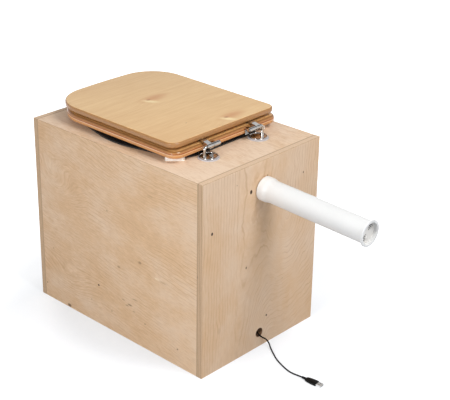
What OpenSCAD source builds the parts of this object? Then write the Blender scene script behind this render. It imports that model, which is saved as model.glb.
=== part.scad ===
// Composting toilet: a plywood box with a wooden seat and lid, a separator under the seat,
// a bucket and a canister inside, and a fan behind a vent pipe. Millimetres, +Z up, front towards -Y.

/* [Box] */
// Width of the box, side to side
box_w = 366; // [350:1:420]
// Depth of the box, front to rear
box_d = 530; // [515:1:600]
// Height of the box
box_h = 450; // [420:1:500]
// Thickness of the plywood
ply_t = 15; // [12:1:18]
// Bevel on the outer arrises
arris = 0.8; // [0.4:0.1:2]

/* [Seat and lid] */
// Sideways place of the seat, hinges and separator, from the middle of the box
seat_shift = -5; // [-8:1:8]
// Width of the seat and of the lid
seat_w = 323; // [310:1:330]
// Length of the seat and of the lid
seat_l = 397; // [385:1:405]
// Distance from the rear face of the box to the rear edge of the seat
seat_in = 104.5; // [100:0.5:112]
// Thickness of the seat
seat_t = 16; // [14:1:20]
// Thickness of the lid
lid_t = 12; // [10:1:14]
// Height of the seat above the box
seat_up = 12.5; // [11:0.5:16]
// Gap between the seat and the lid
lid_gap = 5.5; // [5:0.5:8]
// Distance from the rear edge of the seat to the rear edge of the lid
lid_in = 5.5; // [4:0.5:8]
// Radius of the rear corners
rear_r = 24; // [20:1:40]
// Radius of the front corners
front_r = 89; // [80:1:105]
// How far the front edge swells forward in the middle
front_swell = 5.5; // [3:0.5:8]
// Rounding of the edges of the lid
lid_edge = 3; // [2:0.5:5]
// Rounding of the upper edges of the seat
seat_edge = 7; // [4:0.5:8]
// Rounding of the lower edges of the seat
seat_under = 3; // [1:0.5:4]
// Width of the hole in the seat
hole_w = 226; // [200:1:236]
// Length of the hole in the seat
hole_l = 282; // [250:1:290]
// Distance from the rear edge of the seat to its hole
hole_in = 66; // [62:1:75]

/* [Bumpers] */
// Length of a bumper under the seat
pad_l = 41; // [34:1:44]
// Width of a bumper under the seat
pad_w = 10; // [8:1:12]
// Distance of a rear bumper from the side and rear edges of the seat
pad_in = 25; // [22:0.5:27]
// Distance between the middles of the front bumpers
pad_span = 124; // [100:1:140]
// Distance of a front bumper from the front edge of the seat
pad_front = 9.5; // [8.5:0.5:11]
// Length of a bumper under the lid
stop_l = 26; // [18:1:32]
// Width of a bumper under the lid
stop_w = 8; // [6:1:10]
// Distance between the middles of the bumpers under the lid
stop_span = 150; // [120:1:170]
// Distance of a lid bumper from the front edge of the lid
stop_in = 34; // [28:1:38]

/* [Hinges] */
// Distance between the two hinge studs
hinge_span = 155; // [145:1:165]
// Distance from the rear edge of the seat to the hinge axis
hinge_back = 15; // [14:0.5:18]
// Height of the hinge axis above the box
axis_up = 25.5; // [24.5:0.5:28]
// Diameter of the pin and its post
pin_d = 6; // [5:0.5:6.5]
// Outer diameter of the knuckles
knuckle_d = 10; // [9:0.5:11]
// Length of a knuckle
knuckle_l = 18.8; // [16:0.2:20]
// Radial clearance of the pin in its knuckles
pin_fit = 0.05; // [0.02:0.01:0.1]
// Gap between two knuckles
knuckle_gap = 0.4; // [0.3:0.1:1]
// Distance from a hinge stud out to its post
post_out = 13; // [11:0.5:14]
// Bend radius of the pin, at its middle
bend_r = 5; // [4:0.5:6]
// Diameter of the foot of the post
foot_d = 8; // [7.5:0.5:10]
// Height of the foot of the post
foot_h = 4; // [3:0.5:6]
// Diameter of the plastic ring under the chrome disc
ring_d = 46.6; // [45:0.2:50]
// Thickness of the plastic ring
ring_t = 2.5; // [2:0.1:3]
// Diameter of the chrome disc
disc_d = 41; // [40:0.5:43]
// Thickness of the chrome disc inside its bead
disc_t = 1.5; // [1:0.1:2]
// Diameter of the bead round the chrome disc
bead_d = 3; // [2.4:0.1:3]
// Width of a strap
strap_w = 12; // [11:0.5:14]
// Thickness of a strap
strap_t = 2; // [1.5:0.1:2.2]
// Length of a strap under its board
strap_l = 42; // [36:1:46]
// Diameter of the stud
stud_d = 6; // [5:0.5:6]
// Length of the stud below the chrome disc
stud_l = 38; // [34:1:44]
// Clearance round a stud or a screw in its hole
hole_fit = 0.3; // [0.2:0.1:0.5]
// Diameter of the washer under the box top
washer_d = 20; // [16:1:24]
// Thickness of the washer
washer_t = 1.5; // [1:0.1:2]
// Span of the wing nut
wing_span = 26; // [22:1:30]
// Height of the boss of the wing nut
nut_h = 7; // [6:0.5:9]
// Diameter of the strap screws
screw_d = 4; // [3:0.5:4.5]
// Length of the strap screws
screw_l = 9; // [7:0.5:10]

/* [Separator] */
// Width of the flange at its rear corners
flange_rear_w = 248; // [240:1:252]
// Width of the flange where it is widest
flange_w = 334; // [320:1:340]
// Width of the flange at its front corners
flange_front_w = 236; // [220:1:250]
// Clearance between the flange and the front bumpers of the seat
flange_clear = 3.75; // [2:0.25:6]
// Distance from the rear edge of the seat to the rear edge of the flange
flange_in = 9; // [9:0.5:12]
// Thickness of the flange
flange_t = 3; // [2:0.5:4]
// Width of the ledge of the box top under the flange
ledge = 14; // [10:1:18]
// Wall of the bowl, the chute and the spout
sep_wall = 3; // [2:0.5:4]
// Width of the bowl
bowl_w = 184; // [160:1:200]
// Distance from the front edge of the flange to the bowl
bowl_in = 51; // [46:1:60]
// Depth of the bowl
bowl_deep = 78; // [60:1:90]
// Width of the rear chute
chute_w = 180; // [160:1:200]
// Length of the rear chute
chute_l = 124; // [110:1:128]
// Depth of the rear chute, below the flange
chute_deep = 108; // [80:1:120]
// Bridge between the bowl and the chute
bridge = 16; // [14:1:24]
// Distance from the rear edge of the flange to the chute
chute_in = 40; // [36:1:46]
// Inner diameter of the spout
spout_d = 18; // [14:1:24]
// Length of the spout below the bowl
spout_l = 75; // [60:1:90]
// Distance from the rear edge of the bowl to the spout
spout_in = 88; // [80:1:94]

/* [Bucket and canister] */
// Outer diameter of the bucket under its rim
bucket_d = 244; // [220:1:250]
// Outer diameter of the bottom of the bucket
bucket_foot_d = 206; // [190:1:220]
// Wall of the bucket
bucket_wall = 2.5; // [2:0.5:4]
// Diameter of the roll of the rim
rim_d = 6; // [5:0.5:8]
// Gap between the chute and the bucket below it
bucket_gap = 10; // [6:1:20]
// Width of the canister
can_w = 200; // [180:1:220]
// Depth of the canister, front to rear
can_l = 160; // [150:1:164]
// Wall of the canister
can_wall = 2.5; // [2:0.5:4]
// Gap between the canister and the front panel
can_gap = 16; // [10:1:18]
// Height of the neck of the canister
neck_h = 34; // [26:1:40]
// Inner diameter of the neck of the canister
neck_d = 44; // [38:1:50]
// How far the spout dips into the neck
spout_dip = 8; // [5:1:14]

/* [Vent] */
// Sideways place of the vent, from the middle of the box
vent_x = -2.6; // [-10:0.2:10]
// Distance of the vent below the top of the box
vent_down = 64.4; // [60:0.2:80]
// How far the loosely plugged pipe droops, in degrees
droop = 2.16; // [0:0.01:2.4]
// Length of the pipe with its bell and end ring
pipe_l = 272.5; // [200:0.5:320]
// Outer diameter of the pipe
pipe_d = 49; // [48:0.5:51]
// Wall of the pipe
pipe_wall = 2; // [1.5:0.1:2.5]
// Outer diameter of the bell
bell_d = 54; // [53.5:0.5:58]
// Length of the straight part of the bell
bell_l = 11; // [8:0.5:16]
// Length of the taper of the bell
taper_l = 15; // [10:0.5:20]
// Depth of the socket in the bell
socket_l = 20; // [19:0.5:24]
// Inner diameter of the socket in the bell
socket_d = 50; // [49.5:0.1:50.5]
// Outer diameter of the end ring
end_d = 57; // [55:0.5:62]
// Length of the end ring
end_l = 4.5; // [3:0.5:8]
// Depth from the end of the pipe to its grille
grille_in = 8; // [6:0.5:12]
// Thickness of the grille
grille_t = 2; // [1.5:0.5:3]
// Width of the slots in the grille
slot_w = 2; // [1.5:0.1:2.4]
// Distance between the slots
slot_step = 3.7; // [3.4:0.1:3.8]
// Outer diameter of the tube of the adapter
adapter_d = 47; // [46:0.2:47.4]
// Wall of the adapter
adapter_wall = 1.5; // [1.5:0.1:2]
// How far the adapter reaches out of the box
adapter_out = 18; // [14:0.5:18.5]
// Thickness of the flange of the adapter
adapter_flange = 3; // [2:0.5:4]

/* [Fan] */
// Width and height of the fan
fan_w = 60; // [58:1:62]
// Depth of the fan
fan_t = 25; // [22:1:28]
// Spacing of the fan's screws
fan_pitch = 50; // [48:0.5:50]
// Diameter of the duct of the fan
duct_d = 57; // [54:0.5:57]
// Diameter of the hub
hub_d = 26; // [24:1:30]
// Gap between the blades and the duct
tip_gap = 1.2; // [0.8:0.1:2]
// Number of blades
blades = 7; // [5:1:9]
// Diameter of the shaft
shaft_d = 3; // [2.5:0.5:4]
// Radial clearance of the shaft in its bearing
shaft_fit = 0.05; // [0.02:0.01:0.1]
// Diameter of the fan's screws
fan_screw_d = 4; // [3:0.5:4]

/* [Cable] */
// Sideways place of the cable hole, from the middle of the box
cable_x = -0.4; // [-3:0.2:3]
// Height of the cable hole above the floor
cable_z = 35.5; // [33.5:0.5:37]
// Diameter of the cable hole
cable_hole_d = 22; // [21:0.5:28]
// Diameter of the cable
cord_d = 3.2; // [2.6:0.1:3.2]
// Length of the body of the plug
plug_l = 28.5; // [26:0.5:32]
// Width of the body of the plug
plug_w = 16; // [14:0.5:18]
// Thickness of the body of the plug
plug_t = 8; // [7.5:0.5:8]
// Length of the metal shell of the plug
shell_l = 12; // [11:0.5:13]
// Width of the metal shell of the plug
shell_w = 12; // [11.5:0.1:12.5]
// Thickness of the metal shell of the plug
shell_t = 4.5; // [4.4:0.1:4.6]

/* [Hidden] */

$fn = 64;
cut = 1;             // how far a cutting tool runs past the face it cuts
touch = 0.3;         // gap between round or loose pieces that rest against each other

ply = [0.87, 0.77, 0.64];
wood = [0.85, 0.69, 0.47];
rubber = [0.93, 0.92, 0.90];
chrome = [0.80, 0.81, 0.82];
black = [0.10, 0.11, 0.12];
white = [0.95, 0.95, 0.94];
steel = [0.62, 0.64, 0.66];

left = 1;
right = -1;

// Places of the seat and hinges, from the box's middle and from the floor
seat_rear = box_d / 2 - seat_in;
seat_z = box_h + seat_up;
lid_rear = seat_rear - lid_in;
lid_z = seat_z + seat_t + lid_gap;
axis_y = seat_rear + hinge_back;
axis_z = box_h + axis_up;
post_x = hinge_span / 2 + post_out;
shoulder = 1.5;                                 // from the bend of the pin to the first knuckle
pin_stub = 2;                                   // how far the pin passes the last knuckle
lid_knuckle = post_x - bend_r - shoulder;       // outer end of the lid's knuckle
seat_knuckle = lid_knuckle - knuckle_l - knuckle_gap;
pin_end = seat_knuckle - knuckle_l - pin_stub;
lid_strap_x = lid_knuckle - knuckle_l / 2;
seat_strap_x = seat_knuckle - knuckle_l / 2;
disc_top = box_h + ring_t + disc_t;
stud_hole = stud_d / 2 + hole_fit;
screw_rows = [12, 32];                          // strap screws, from the edge of the board
screw_head_d = 7.6;
screw_head_h = 2.2;
screw_bite = screw_l - strap_t + 0.5;           // depth of their holes in the board

// Places of the separator and of what stands below it
pad_y = seat_rear - seat_l + front_swell / 2 + pad_front;
flange_rear = seat_rear - flange_in;
flange_l = flange_rear - pad_y - pad_w / 2 - flange_clear;
flange_mid = flange_l / 2;                      // from the rear edge of the flange to where it is widest
chute_y = flange_rear - chute_in - chute_l / 2;
bowl_rear = chute_y - chute_l / 2 - bridge;
bowl_l = bowl_rear - flange_rear + flange_l - bowl_in;
bowl_y = bowl_rear - bowl_l / 2;
bowl_rings = 9;
spout_y = bowl_rear - spout_in;
spout_z = box_h + flange_t - bowl_deep - spout_l;
bucket_h = box_h + flange_t - chute_deep - bucket_gap - ply_t;
can_y = -box_d / 2 + ply_t + can_gap + can_l / 2;
can_h = spout_z + spout_dip - neck_h - ply_t;

// Places of the vent, fan and cable
vent_z = box_h - vent_down;
pipe_gap = 0.3;                                 // between the bell's lowest point and the box
inner_face = box_d / 2 - ply_t;
fan_front = inner_face - adapter_flange - fan_t;
panel_hole = adapter_d / 2 + 0.5;
strut = 2.5;                                    // depth of the fan's struts and motor plate
rotor_gap = 0.8;                                // between the motor plate and the rotor
grille_r = pipe_d / 2 - 1.3;
fan_flange = 3.5;
fan_bite = 9;                                   // how deep the fan's screws go into the panel
bearing_l = 9;
bearing_wall = 2;

// The flange of the separator, anticlockwise from its left rear corner
flange_outline = [
    [flange_rear_w / 2, flange_rear], [-flange_rear_w / 2, flange_rear],
    [-flange_w / 2, flange_rear - flange_mid], [-flange_front_w / 2, flange_rear - flange_l],
    [flange_front_w / 2, flange_rear - flange_l], [flange_w / 2, flange_rear - flange_mid]
];
flange_radii = [56, 56, 220, 110, 110, 220];

// The cord from the hole out to its plug, from the middle of the hole's outer rim and from the floor
cord_path = [for (p = [
    [-2.6, -ply_t, cable_z + 1], [-2.6, -8.5, cable_z - 4], [-2.6, 0, cable_z - 8.2], [-7.1, 4, 22], [-13.1, 8, 17],
    [-16.1, 11.5, 12], [-15.6, 17, 7.3], [-9.6, 26.5, 3.5], [2.9, 46, 1.8], [14.9, 66, 1.7], [24.4, 89, 1.7],
    [30.9, 111, 1.7], [32.4, 126, 2.2], [31.9, 140, 3.3], [31.6, 149.5, 4]
]) p + [cable_x, box_d / 2, 0]];
cord_gap = 0.15;                                // between the cord and what it runs on into
cord_start = unit(cord_path[1] - cord_path[0]);
// The cable from the fan down the rear panel to the cord
lead_x = vent_x + 14.6;
lead_y = inner_face - cord_d / 2 - 0.1;
lead_z = vent_z - fan_w / 2 - 0.9;
lead_path = [
    [lead_x, inner_face - 6, lead_z], [lead_x, lead_y - 0.9, lead_z - 8.7], [lead_x, lead_y, lead_z - 20.7],
    for (t = [0.17, 0.36, 0.55, 0.74, 0.89]) [mix(lead_x, cord_path[0][0], t), lead_y, mix(lead_z, cable_z, t)],
    [cord_path[0][0], lead_y - 1.1, cable_z + 14.5], cord_path[0] - 4 * cord_start, cord_path[0] - cord_gap * cord_start
];
plug_turn = 4.5;                                // degrees from straight back
relief_l = 10.5;

// ---- Outlines and shapes ----

function unit(v) = v / norm(v);
function mix(a, b, t) = a + (b - a) * t;

// The arc that rounds the corner at q between p and n, drawn in by inset
function corner(p, q, n, r, inset, steps) =
    let (a = unit(p - q), b = unit(n - q), half = acos(a * b) / 2, m = q + unit(a + b) * r / sin(half),
         s = q + a * r / tan(half) - m, e = q + b * r / tan(half) - m,
         from = atan2(s[1], s[0]), sweep = (atan2(e[1], e[0]) - from + 540) % 360 - 180)
    [for (k = [0:steps]) m + (r - inset) * [cos(from + sweep * k / steps), sin(from + sweep * k / steps)]];

// An outline with every corner rounded by its own radius
function rounded(points, radii, inset = 0, steps = 10) =
    let (n = len(points))
    [for (i = [0:n - 1])
        each corner(points[(i + n - 1) % n], points[i], points[(i + 1) % n], radii[i], inset, steps)];

// A superellipse of a width and a length, from an ellipse at power 2 to nearly a rectangle at 6
function egg(w, l, power, y = 0, count = 48) =
    [for (i = [0:count - 1]) let (c = cos(360 * i / count), s = sin(360 * i / count))
        [w / 2 * sign(c) * pow(abs(c), 2 / power), y + l / 2 * sign(s) * pow(abs(s), 2 / power)]];

function at_height(outline, z) = [for (p = outline) [p[0], p[1], z]];

// Skins a stack of rings that have the same number of points, listed upwards
module loft(rings) {
    n = len(rings[0]);
    m = len(rings);
    polyhedron(
        points = [for (ring = rings) each ring],
        faces = [
            [for (i = [0:n - 1]) i],
            for (k = [0:m - 2], i = [0:n - 1]) let (j = (i + 1) % n)
                each [[k * n + i, k * n + n + i, k * n + n + j], [k * n + i, k * n + n + j, k * n + j]],
            [for (i = [n - 1:-1:0]) (m - 1) * n + i]
        ]
    );
}

// One point of a smooth curve through the points of a path
function on_curve(p, i, t) =
    let (a = p[max(i - 1, 0)], b = p[i], c = p[i + 1], d = p[min(i + 2, len(p) - 1)])
    0.5 * (2 * b + (c - a) * t + (2 * a - 5 * b + 4 * c - d) * t * t + (3 * b - a - 3 * c + d) * t * t * t);

// The curve through a path, with a point every step or so
function curve(path, step) =
    [for (i = [0:len(path) - 2]) let (n = max(1, round(norm(path[i + 1] - path[i]) / step)))
        for (k = [0:n - 1]) on_curve(path, i, k / n), path[len(path) - 1]];

// A round cable swept along a path
module cable(path, d, sides = 8) {
    points = curve(path, 2.6 * d);
    last = len(points) - 1;
    rings = [for (i = [0:last])
        let (t = unit(points[min(i + 1, last)] - points[max(i - 1, 0)]), u = unit(cross(t, [1, 0, 0])), v = cross(t, u))
        [for (k = [0:sides - 1]) let (a = 360 * (k + 0.5) / sides) points[i] + d / 2 * (cos(a) * u + sin(a) * v)]];
    loft(rings);
}

module rounded_square(w, h, r) {
    square([w - 2 * r, h], center = true);
    square([w, h - 2 * r], center = true);
    for (x = [-1, 1], y = [-1, 1]) translate([x * (w / 2 - r), y * (h / 2 - r)]) circle(r);
}

module stadium(l, w) {
    square([l - w, w], center = true);
    for (x = [-1, 1]) translate([x * (l - w) / 2, 0]) circle(w / 2);
}

module ring(outer, inner, h) {
    difference() {
        cylinder(r = outer, h = h);
        translate([0, 0, -cut]) cylinder(r = inner, h = h + 2 * cut);
    }
}

// A pan head screw, pointing up, with the underside of its head at zero
module screw(d, length, head_d, head_h) {
    rotate_extrude()
        polygon([
            [0, -head_h], [head_d * 0.28, -head_h], [head_d * 0.42, -head_h * 0.72], [head_d / 2, -head_h * 0.25],
            [head_d / 2, 0], [d / 2, 0], [d / 2, length - d / 2], [0, length]
        ]);
}

// Turns a shape drawn in the Y and Z directions across the box
module across(from, to) {
    translate([from, 0, 0]) rotate([90, 0, 90]) linear_extrude(to - from) children();
}

// Carries a shape that is drawn for one side to that side of the seat's middle
module on_side(side) {
    translate([seat_shift, 0, 0]) mirror([side == left ? 0 : 1, 0, 0]) children();
}

// ---- Box ----

// A full-height end board, with its outer face at y and facing the sign of y
module end_board(y) {
    out = sign(y);
    difference() {
        translate([-box_w / 2, min(y, y - out * ply_t), 0]) cube([box_w, ply_t, box_h]);
        for (x = [-1, 1])
            translate([x * box_w / 2, y, box_h / 2]) rotate([0, 0, 45])
                cube([arris * sqrt(2), arris * sqrt(2), box_h + 2 * cut], center = true);
        translate([0, y, box_h]) rotate([45, 0, 0])
            cube([box_w + 2 * cut, arris * sqrt(2), arris * sqrt(2)], center = true);
    }
}

module panel_front() {
    color(ply) end_board(-box_d / 2);
}

module panel_rear() {
    color(ply) difference() {
        end_board(box_d / 2);
        translate([vent_x, inner_face - cut, vent_z]) rotate([-90, 0, 0])
            cylinder(r = panel_hole, h = ply_t + 2 * cut);
        translate([cable_x, inner_face - cut, cable_z]) rotate([-90, 0, 0])
            cylinder(d = cable_hole_d, h = ply_t + 2 * cut);
        at_fan_screws(inner_face - cut) cylinder(d = fan_screw_d + 2 * hole_fit, h = fan_bite + cut);
    }
}

// The side boards and the top meet in a mitre along the top arrises
module side_board() {
    rotate([90, 0, 0]) linear_extrude(box_d - 2 * ply_t, center = true)
        polygon([
            [box_w / 2 - ply_t, 0], [box_w / 2, 0], [box_w / 2, box_h - arris],
            [box_w / 2 - arris / 2, box_h - arris / 2], [box_w / 2 - ply_t, box_h - ply_t]
        ]);
}

module panel_left() {
    color(ply) side_board();
}

module panel_right() {
    color(ply) mirror([1, 0, 0]) side_board();
}

module panel_top() {
    color(ply) difference() {
        rotate([90, 0, 0]) linear_extrude(box_d - 2 * ply_t, center = true)
            polygon([
                [ply_t - box_w / 2, box_h - ply_t], [box_w / 2 - ply_t, box_h - ply_t],
                [box_w / 2 - arris / 2, box_h - arris / 2], [box_w / 2 - arris, box_h],
                [arris - box_w / 2, box_h], [arris / 2 - box_w / 2, box_h - arris / 2]
            ]);
        translate([seat_shift, 0, box_h - ply_t - cut]) linear_extrude(ply_t + 2 * cut)
            polygon(rounded(flange_outline, flange_radii, ledge));
        for (side = [left, right]) on_side(side)
            translate([hinge_span / 2, axis_y, box_h - ply_t - cut]) cylinder(r = stud_hole, h = ply_t + 2 * cut);
    }
}

module panel_bottom() {
    color(ply) translate([ply_t - box_w / 2, ply_t - box_d / 2, 0])
        cube([box_w - 2 * ply_t, box_d - 2 * ply_t, ply_t]);
}

// ---- Seat and lid ----

// The outline that the seat and the lid share, with its rear edge at zero
board_outline = [
    [seat_w / 2, 0], [-seat_w / 2, 0], [-seat_w / 2, front_swell - seat_l], [0, -seat_l],
    [seat_w / 2, front_swell - seat_l]
];
board_radii = [rear_r, rear_r, front_r, 1400, front_r];
edge_steps = 4;

// A board of thickness t with its edges rounded by under and over
module board(t, under, over) {
    lower = [for (k = [0:edge_steps]) let (a = 90 * k / edge_steps) [under * (1 - sin(a)), under * (1 - cos(a))]];
    upper = [for (k = [0:edge_steps]) let (a = 90 * k / edge_steps) [over * (1 - cos(a)), t - over * (1 - sin(a))]];
    loft([for (s = concat(lower, upper)) at_height(rounded(board_outline, board_radii, s[0]), s[1])]);
}

// The hole of the seat, which flares over its upper edge
module seat_hole() {
    y = -hole_in - hole_l / 2;
    flare = [for (k = [0:edge_steps]) let (a = 90 * k / edge_steps) [seat_edge * (1 - cos(a)), seat_t - seat_edge * (1 - sin(a))]];
    rim = [[0, -cut], each flare, [2 * seat_edge, seat_t + cut]];
    loft([for (s = rim) at_height(egg(hole_w + 2 * s[0], hole_l + 2 * s[0], 2.3, y, 56), s[1])]);
}

module seat_ring() {
    color(wood) difference() {
        translate([seat_shift, seat_rear, seat_z]) difference() {
            board(seat_t, seat_under, seat_edge);
            seat_hole();
        }
        at_strap_screws(seat_strap_x, seat_rear, seat_z - cut) cylinder(d = screw_d + 2 * hole_fit, h = screw_bite + cut);
    }
}

module seat_lid() {
    color(wood) difference() {
        translate([seat_shift, lid_rear, lid_z]) board(lid_t, lid_edge, lid_edge);
        at_strap_screws(lid_strap_x, lid_rear, lid_z - cut) cylinder(d = screw_d + 2 * hole_fit, h = screw_bite + cut);
    }
}

// Two bumpers stand across the rear corners and two behind the front edge
module seat_bumpers() {
    color(rubber) for (side = [left, right]) on_side(side) {
        translate([seat_w / 2 - pad_in, seat_rear - pad_in, box_h]) rotate([0, 0, -45])
            linear_extrude(seat_up) stadium(pad_l, pad_w);
        translate([pad_span / 2, pad_y, box_h])
            linear_extrude(seat_up) stadium(pad_l, pad_w);
    }
}

module lid_bumpers() {
    color(rubber) for (side = [left, right]) on_side(side)
        translate([stop_span / 2, lid_rear - seat_l + stop_in, lid_z - lid_gap + touch])
            linear_extrude(lid_gap - touch) stadium(stop_l, stop_w);
}

// ---- Hinges ----

// Places children at the screws of both straps of a board whose rear edge and underside are given
module at_strap_screws(x, rear, z) {
    for (side = [left, right], row = screw_rows) on_side(side) translate([x, rear - row, z]) children();
}

// A knuckle on the hinge axis, from its outer end inwards
module knuckle(outer_end) {
    translate([outer_end - knuckle_l, 0, 0]) rotate([0, 90, 0]) cylinder(d = knuckle_d, h = knuckle_l);
}

// Cuts the pin's bore and the screw holes out of a strap, and rounds its end
module strap(x, outer_end, reach, edge) {
    translate([0, axis_y, axis_z]) difference() {
        union() {
            knuckle(outer_end);
            intersection() {
                across(x - strap_w / 2, x + strap_w / 2) children();
                translate([x, strap_w / 2 - reach, -2 * knuckle_d]) {
                    cylinder(d = strap_w, h = 4 * knuckle_d);
                    translate([-strap_w / 2, 0, 0]) cube([strap_w, reach, 4 * knuckle_d]);
                }
            }
        }
        translate([outer_end - knuckle_l - cut, 0, 0]) rotate([0, 90, 0])
            cylinder(r = pin_d / 2 + pin_fit, h = knuckle_l + 2 * cut);
        for (row = screw_rows) translate([x, -edge - row, -2 * knuckle_d])
            cylinder(d = screw_d + 2 * hole_fit, h = 4 * knuckle_d);
    }
}

// From the top of its knuckle up and forward to the underside of the lid
module lid_strap(side) {
    rise = lid_z - axis_z;
    edge = hinge_back + lid_in;
    reach = edge + strap_l;
    knee = edge - 3;
    on_side(side) strap(lid_strap_x, lid_knuckle, reach, edge)
        polygon([
            [0, knuckle_d / 2], [-knee, rise], [-reach, rise], [-reach, rise - strap_t], [-knee, rise - strap_t],
            [0, knuckle_d / 2 - strap_t]
        ]);
}

// From its knuckle forward, down behind the edge of the seat and under it
module seat_strap(side) {
    under = seat_z - axis_z;
    reach = hinge_back + strap_l;
    face = hinge_back - touch;
    on_side(side) strap(seat_strap_x, seat_knuckle, reach, hinge_back)
        polygon([
            [0, strap_t / 2], [-face, strap_t / 2], [-face, under], [-reach, under], [-reach, under - strap_t],
            [strap_t - face, under - strap_t], [strap_t - face, -strap_t / 2], [0, -strap_t / 2]
        ]);
}

module strap_screws(x, rear, z) {
    at_strap_screws(x, rear, z - strap_t) screw(screw_d, screw_l, screw_head_d, screw_head_h);
}

// The plastic ring that the chrome disc stands on
module hinge_ring(side) {
    r = ring_d / 2;
    color(rubber) on_side(side) translate([hinge_span / 2, axis_y, box_h]) rotate_extrude()
        polygon([
            [stud_hole, 0], [r, 0], [r, ring_t * 0.35],
            for (a = [0:22.5:90]) [r - ring_t * 0.65 * (1 - cos(a)), ring_t * 0.35 + ring_t * 0.65 * sin(a)],
            [stud_hole, ring_t]
        ]);
}

// The chrome disc with its bead, and the stud under it
module hinge_disc(side) {
    color(chrome) on_side(side) translate([hinge_span / 2, axis_y, box_h + ring_t]) {
        cylinder(d = disc_d - bead_d, h = disc_t);
        rotate_extrude() translate([(disc_d - bead_d) / 2, bead_d / 2]) circle(d = bead_d, $fn = 24);
        translate([0, 0, -stud_l]) cylinder(d = stud_d, h = stud_l + disc_t / 2);
    }
}

// One bent rod: the post on the disc, an elbow and the pin that carries both knuckles
module hinge_post(side) {
    color(chrome) on_side(side) translate([post_x, axis_y, 0]) {
        translate([0, 0, disc_top]) cylinder(d = foot_d, h = foot_h);
        translate([0, 0, disc_top]) cylinder(d = pin_d, h = axis_z - bend_r - disc_top);
        translate([-bend_r, 0, axis_z - bend_r]) rotate([90, 0, 0])
            rotate_extrude(angle = 90) translate([bend_r, 0]) circle(d = pin_d);
        translate([pin_end - post_x, 0, axis_z]) rotate([0, 90, 0])
            cylinder(d = pin_d, h = post_x - bend_r - pin_end);
    }
}

module hinge_washers() {
    color(steel) for (side = [left, right]) on_side(side)
        translate([hinge_span / 2, axis_y, box_h - ply_t - washer_t]) ring(washer_d / 2, stud_hole, washer_t);
}

// The wings of a nut rise outwards from its boss
module wing_nut() {
    tip = wing_span / 2;
    difference() {
        union() {
            cylinder(d1 = 0.77 * tip, d2 = tip, h = nut_h);
            rotate([90, 0, 0]) linear_extrude(tip / 5, center = true)
                polygon([
                    [-0.38 * tip, 0.8 * nut_h], [-0.85 * tip, 0.2 * nut_h], [-tip, -0.57 * nut_h], [-0.77 * tip, -nut_h],
                    [-0.38 * tip, -0.57 * nut_h], [-0.35 * tip, 0.1 * nut_h], [0.35 * tip, 0.1 * nut_h],
                    [0.38 * tip, -0.57 * nut_h], [0.77 * tip, -nut_h], [tip, -0.57 * nut_h], [0.85 * tip, 0.2 * nut_h],
                    [0.38 * tip, 0.8 * nut_h]
                ]);
        }
        translate([0, 0, -nut_h - cut]) cylinder(r = stud_hole, h = 2 * (nut_h + cut));
    }
}

module hinge_wing_nuts() {
    color(steel) for (side = [left, right]) on_side(side)
        translate([hinge_span / 2, axis_y, box_h - ply_t - washer_t - nut_h]) wing_nut();
}

// ---- Separator, bucket and canister ----

// The space in the bowl, or its outside when grown by the wall
module bowl(grow, top) {
    floor_z = box_h + flange_t - bowl_deep - grow;
    r = spout_d / 2 + grow;
    loft([
        for (k = [0:bowl_rings]) let (t = 1 - k / bowl_rings, s = pow(cos(88 * t), 0.75))
            at_height(egg(mix(2 * r, bowl_w + 2 * grow, s), mix(2 * r, bowl_l + 2 * grow, s), mix(2, 2.8, s),
                mix(spout_y, bowl_y, s)), mix(box_h + flange_t, floor_z, t)),
        if (top > 0) at_height(egg(bowl_w + 2 * grow, bowl_l + 2 * grow, 2.8, bowl_y), box_h + flange_t + top)
    ]);
}

// The space in the chute, which narrows a little downwards, or its outside
module chute(grow, top, low) {
    loft([
        for (s = [[-low, 0.9], [chute_deep * 0.75, 0.93], [chute_deep - 6, 0.98], [chute_deep, 1], [chute_deep + top, 1]])
            if (s[0] <= chute_deep || top > 0)
                at_height(egg(chute_w * s[1] + 2 * grow, chute_l * s[1] + 2 * grow, 2.8, chute_y),
                    box_h + flange_t - chute_deep + s[0])
    ]);
}

// A flange that lies on the box, with a bowl and its spout in front and an open chute behind
module separator() {
    color(black) translate([seat_shift, 0, 0]) difference() {
        union() {
            translate([0, 0, box_h]) linear_extrude(flange_t) polygon(rounded(flange_outline, flange_radii));
            bowl(sep_wall, 0);
            chute(sep_wall, 0, 0);
            translate([0, spout_y, spout_z]) cylinder(d = spout_d + 2 * sep_wall, h = spout_l);
        }
        bowl(0, cut);
        chute(0, cut, cut);
        translate([0, spout_y, spout_z - cut]) cylinder(d = spout_d, h = spout_l + 2 * cut);
    }
}

// A tapering bucket with a rolled rim, below the chute
module solids_bucket() {
    foot = bucket_foot_d / 2;
    top = bucket_d / 2;
    color(black) translate([seat_shift, chute_y, ply_t]) rotate_extrude($fn = 96) {
        polygon([
            [0, 0], [foot - 6, 0], [foot - 1.8, 1.8], [foot, 6], [top, bucket_h - rim_d / 2],
            [top - bucket_wall, bucket_h - rim_d / 2], [foot - bucket_wall, 8], [foot - 8, bucket_wall], [0, bucket_wall]
        ]);
        translate([top, bucket_h - rim_d / 2]) circle(d = rim_d, $fn = 24);
    }
}

// Rings of the canister: how far each is drawn in, and its share of the height
can_profile = [
    [7, 0], [2, 0.012], [0, 0.035], [0, 0.42], [4, 0.45], [4, 0.51], [0, 0.54], [0, 0.90], [5, 0.95], [17, 0.985], [30, 1]
];

module can_body(grow) {
    loft([for (s = can_profile)
        at_height(egg(can_w - 2 * s[0] + 2 * grow, can_l - 2 * s[0] + 2 * grow, 6, 0, 40),
            mix(-grow, can_h + grow, s[1]))]);
}

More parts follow.
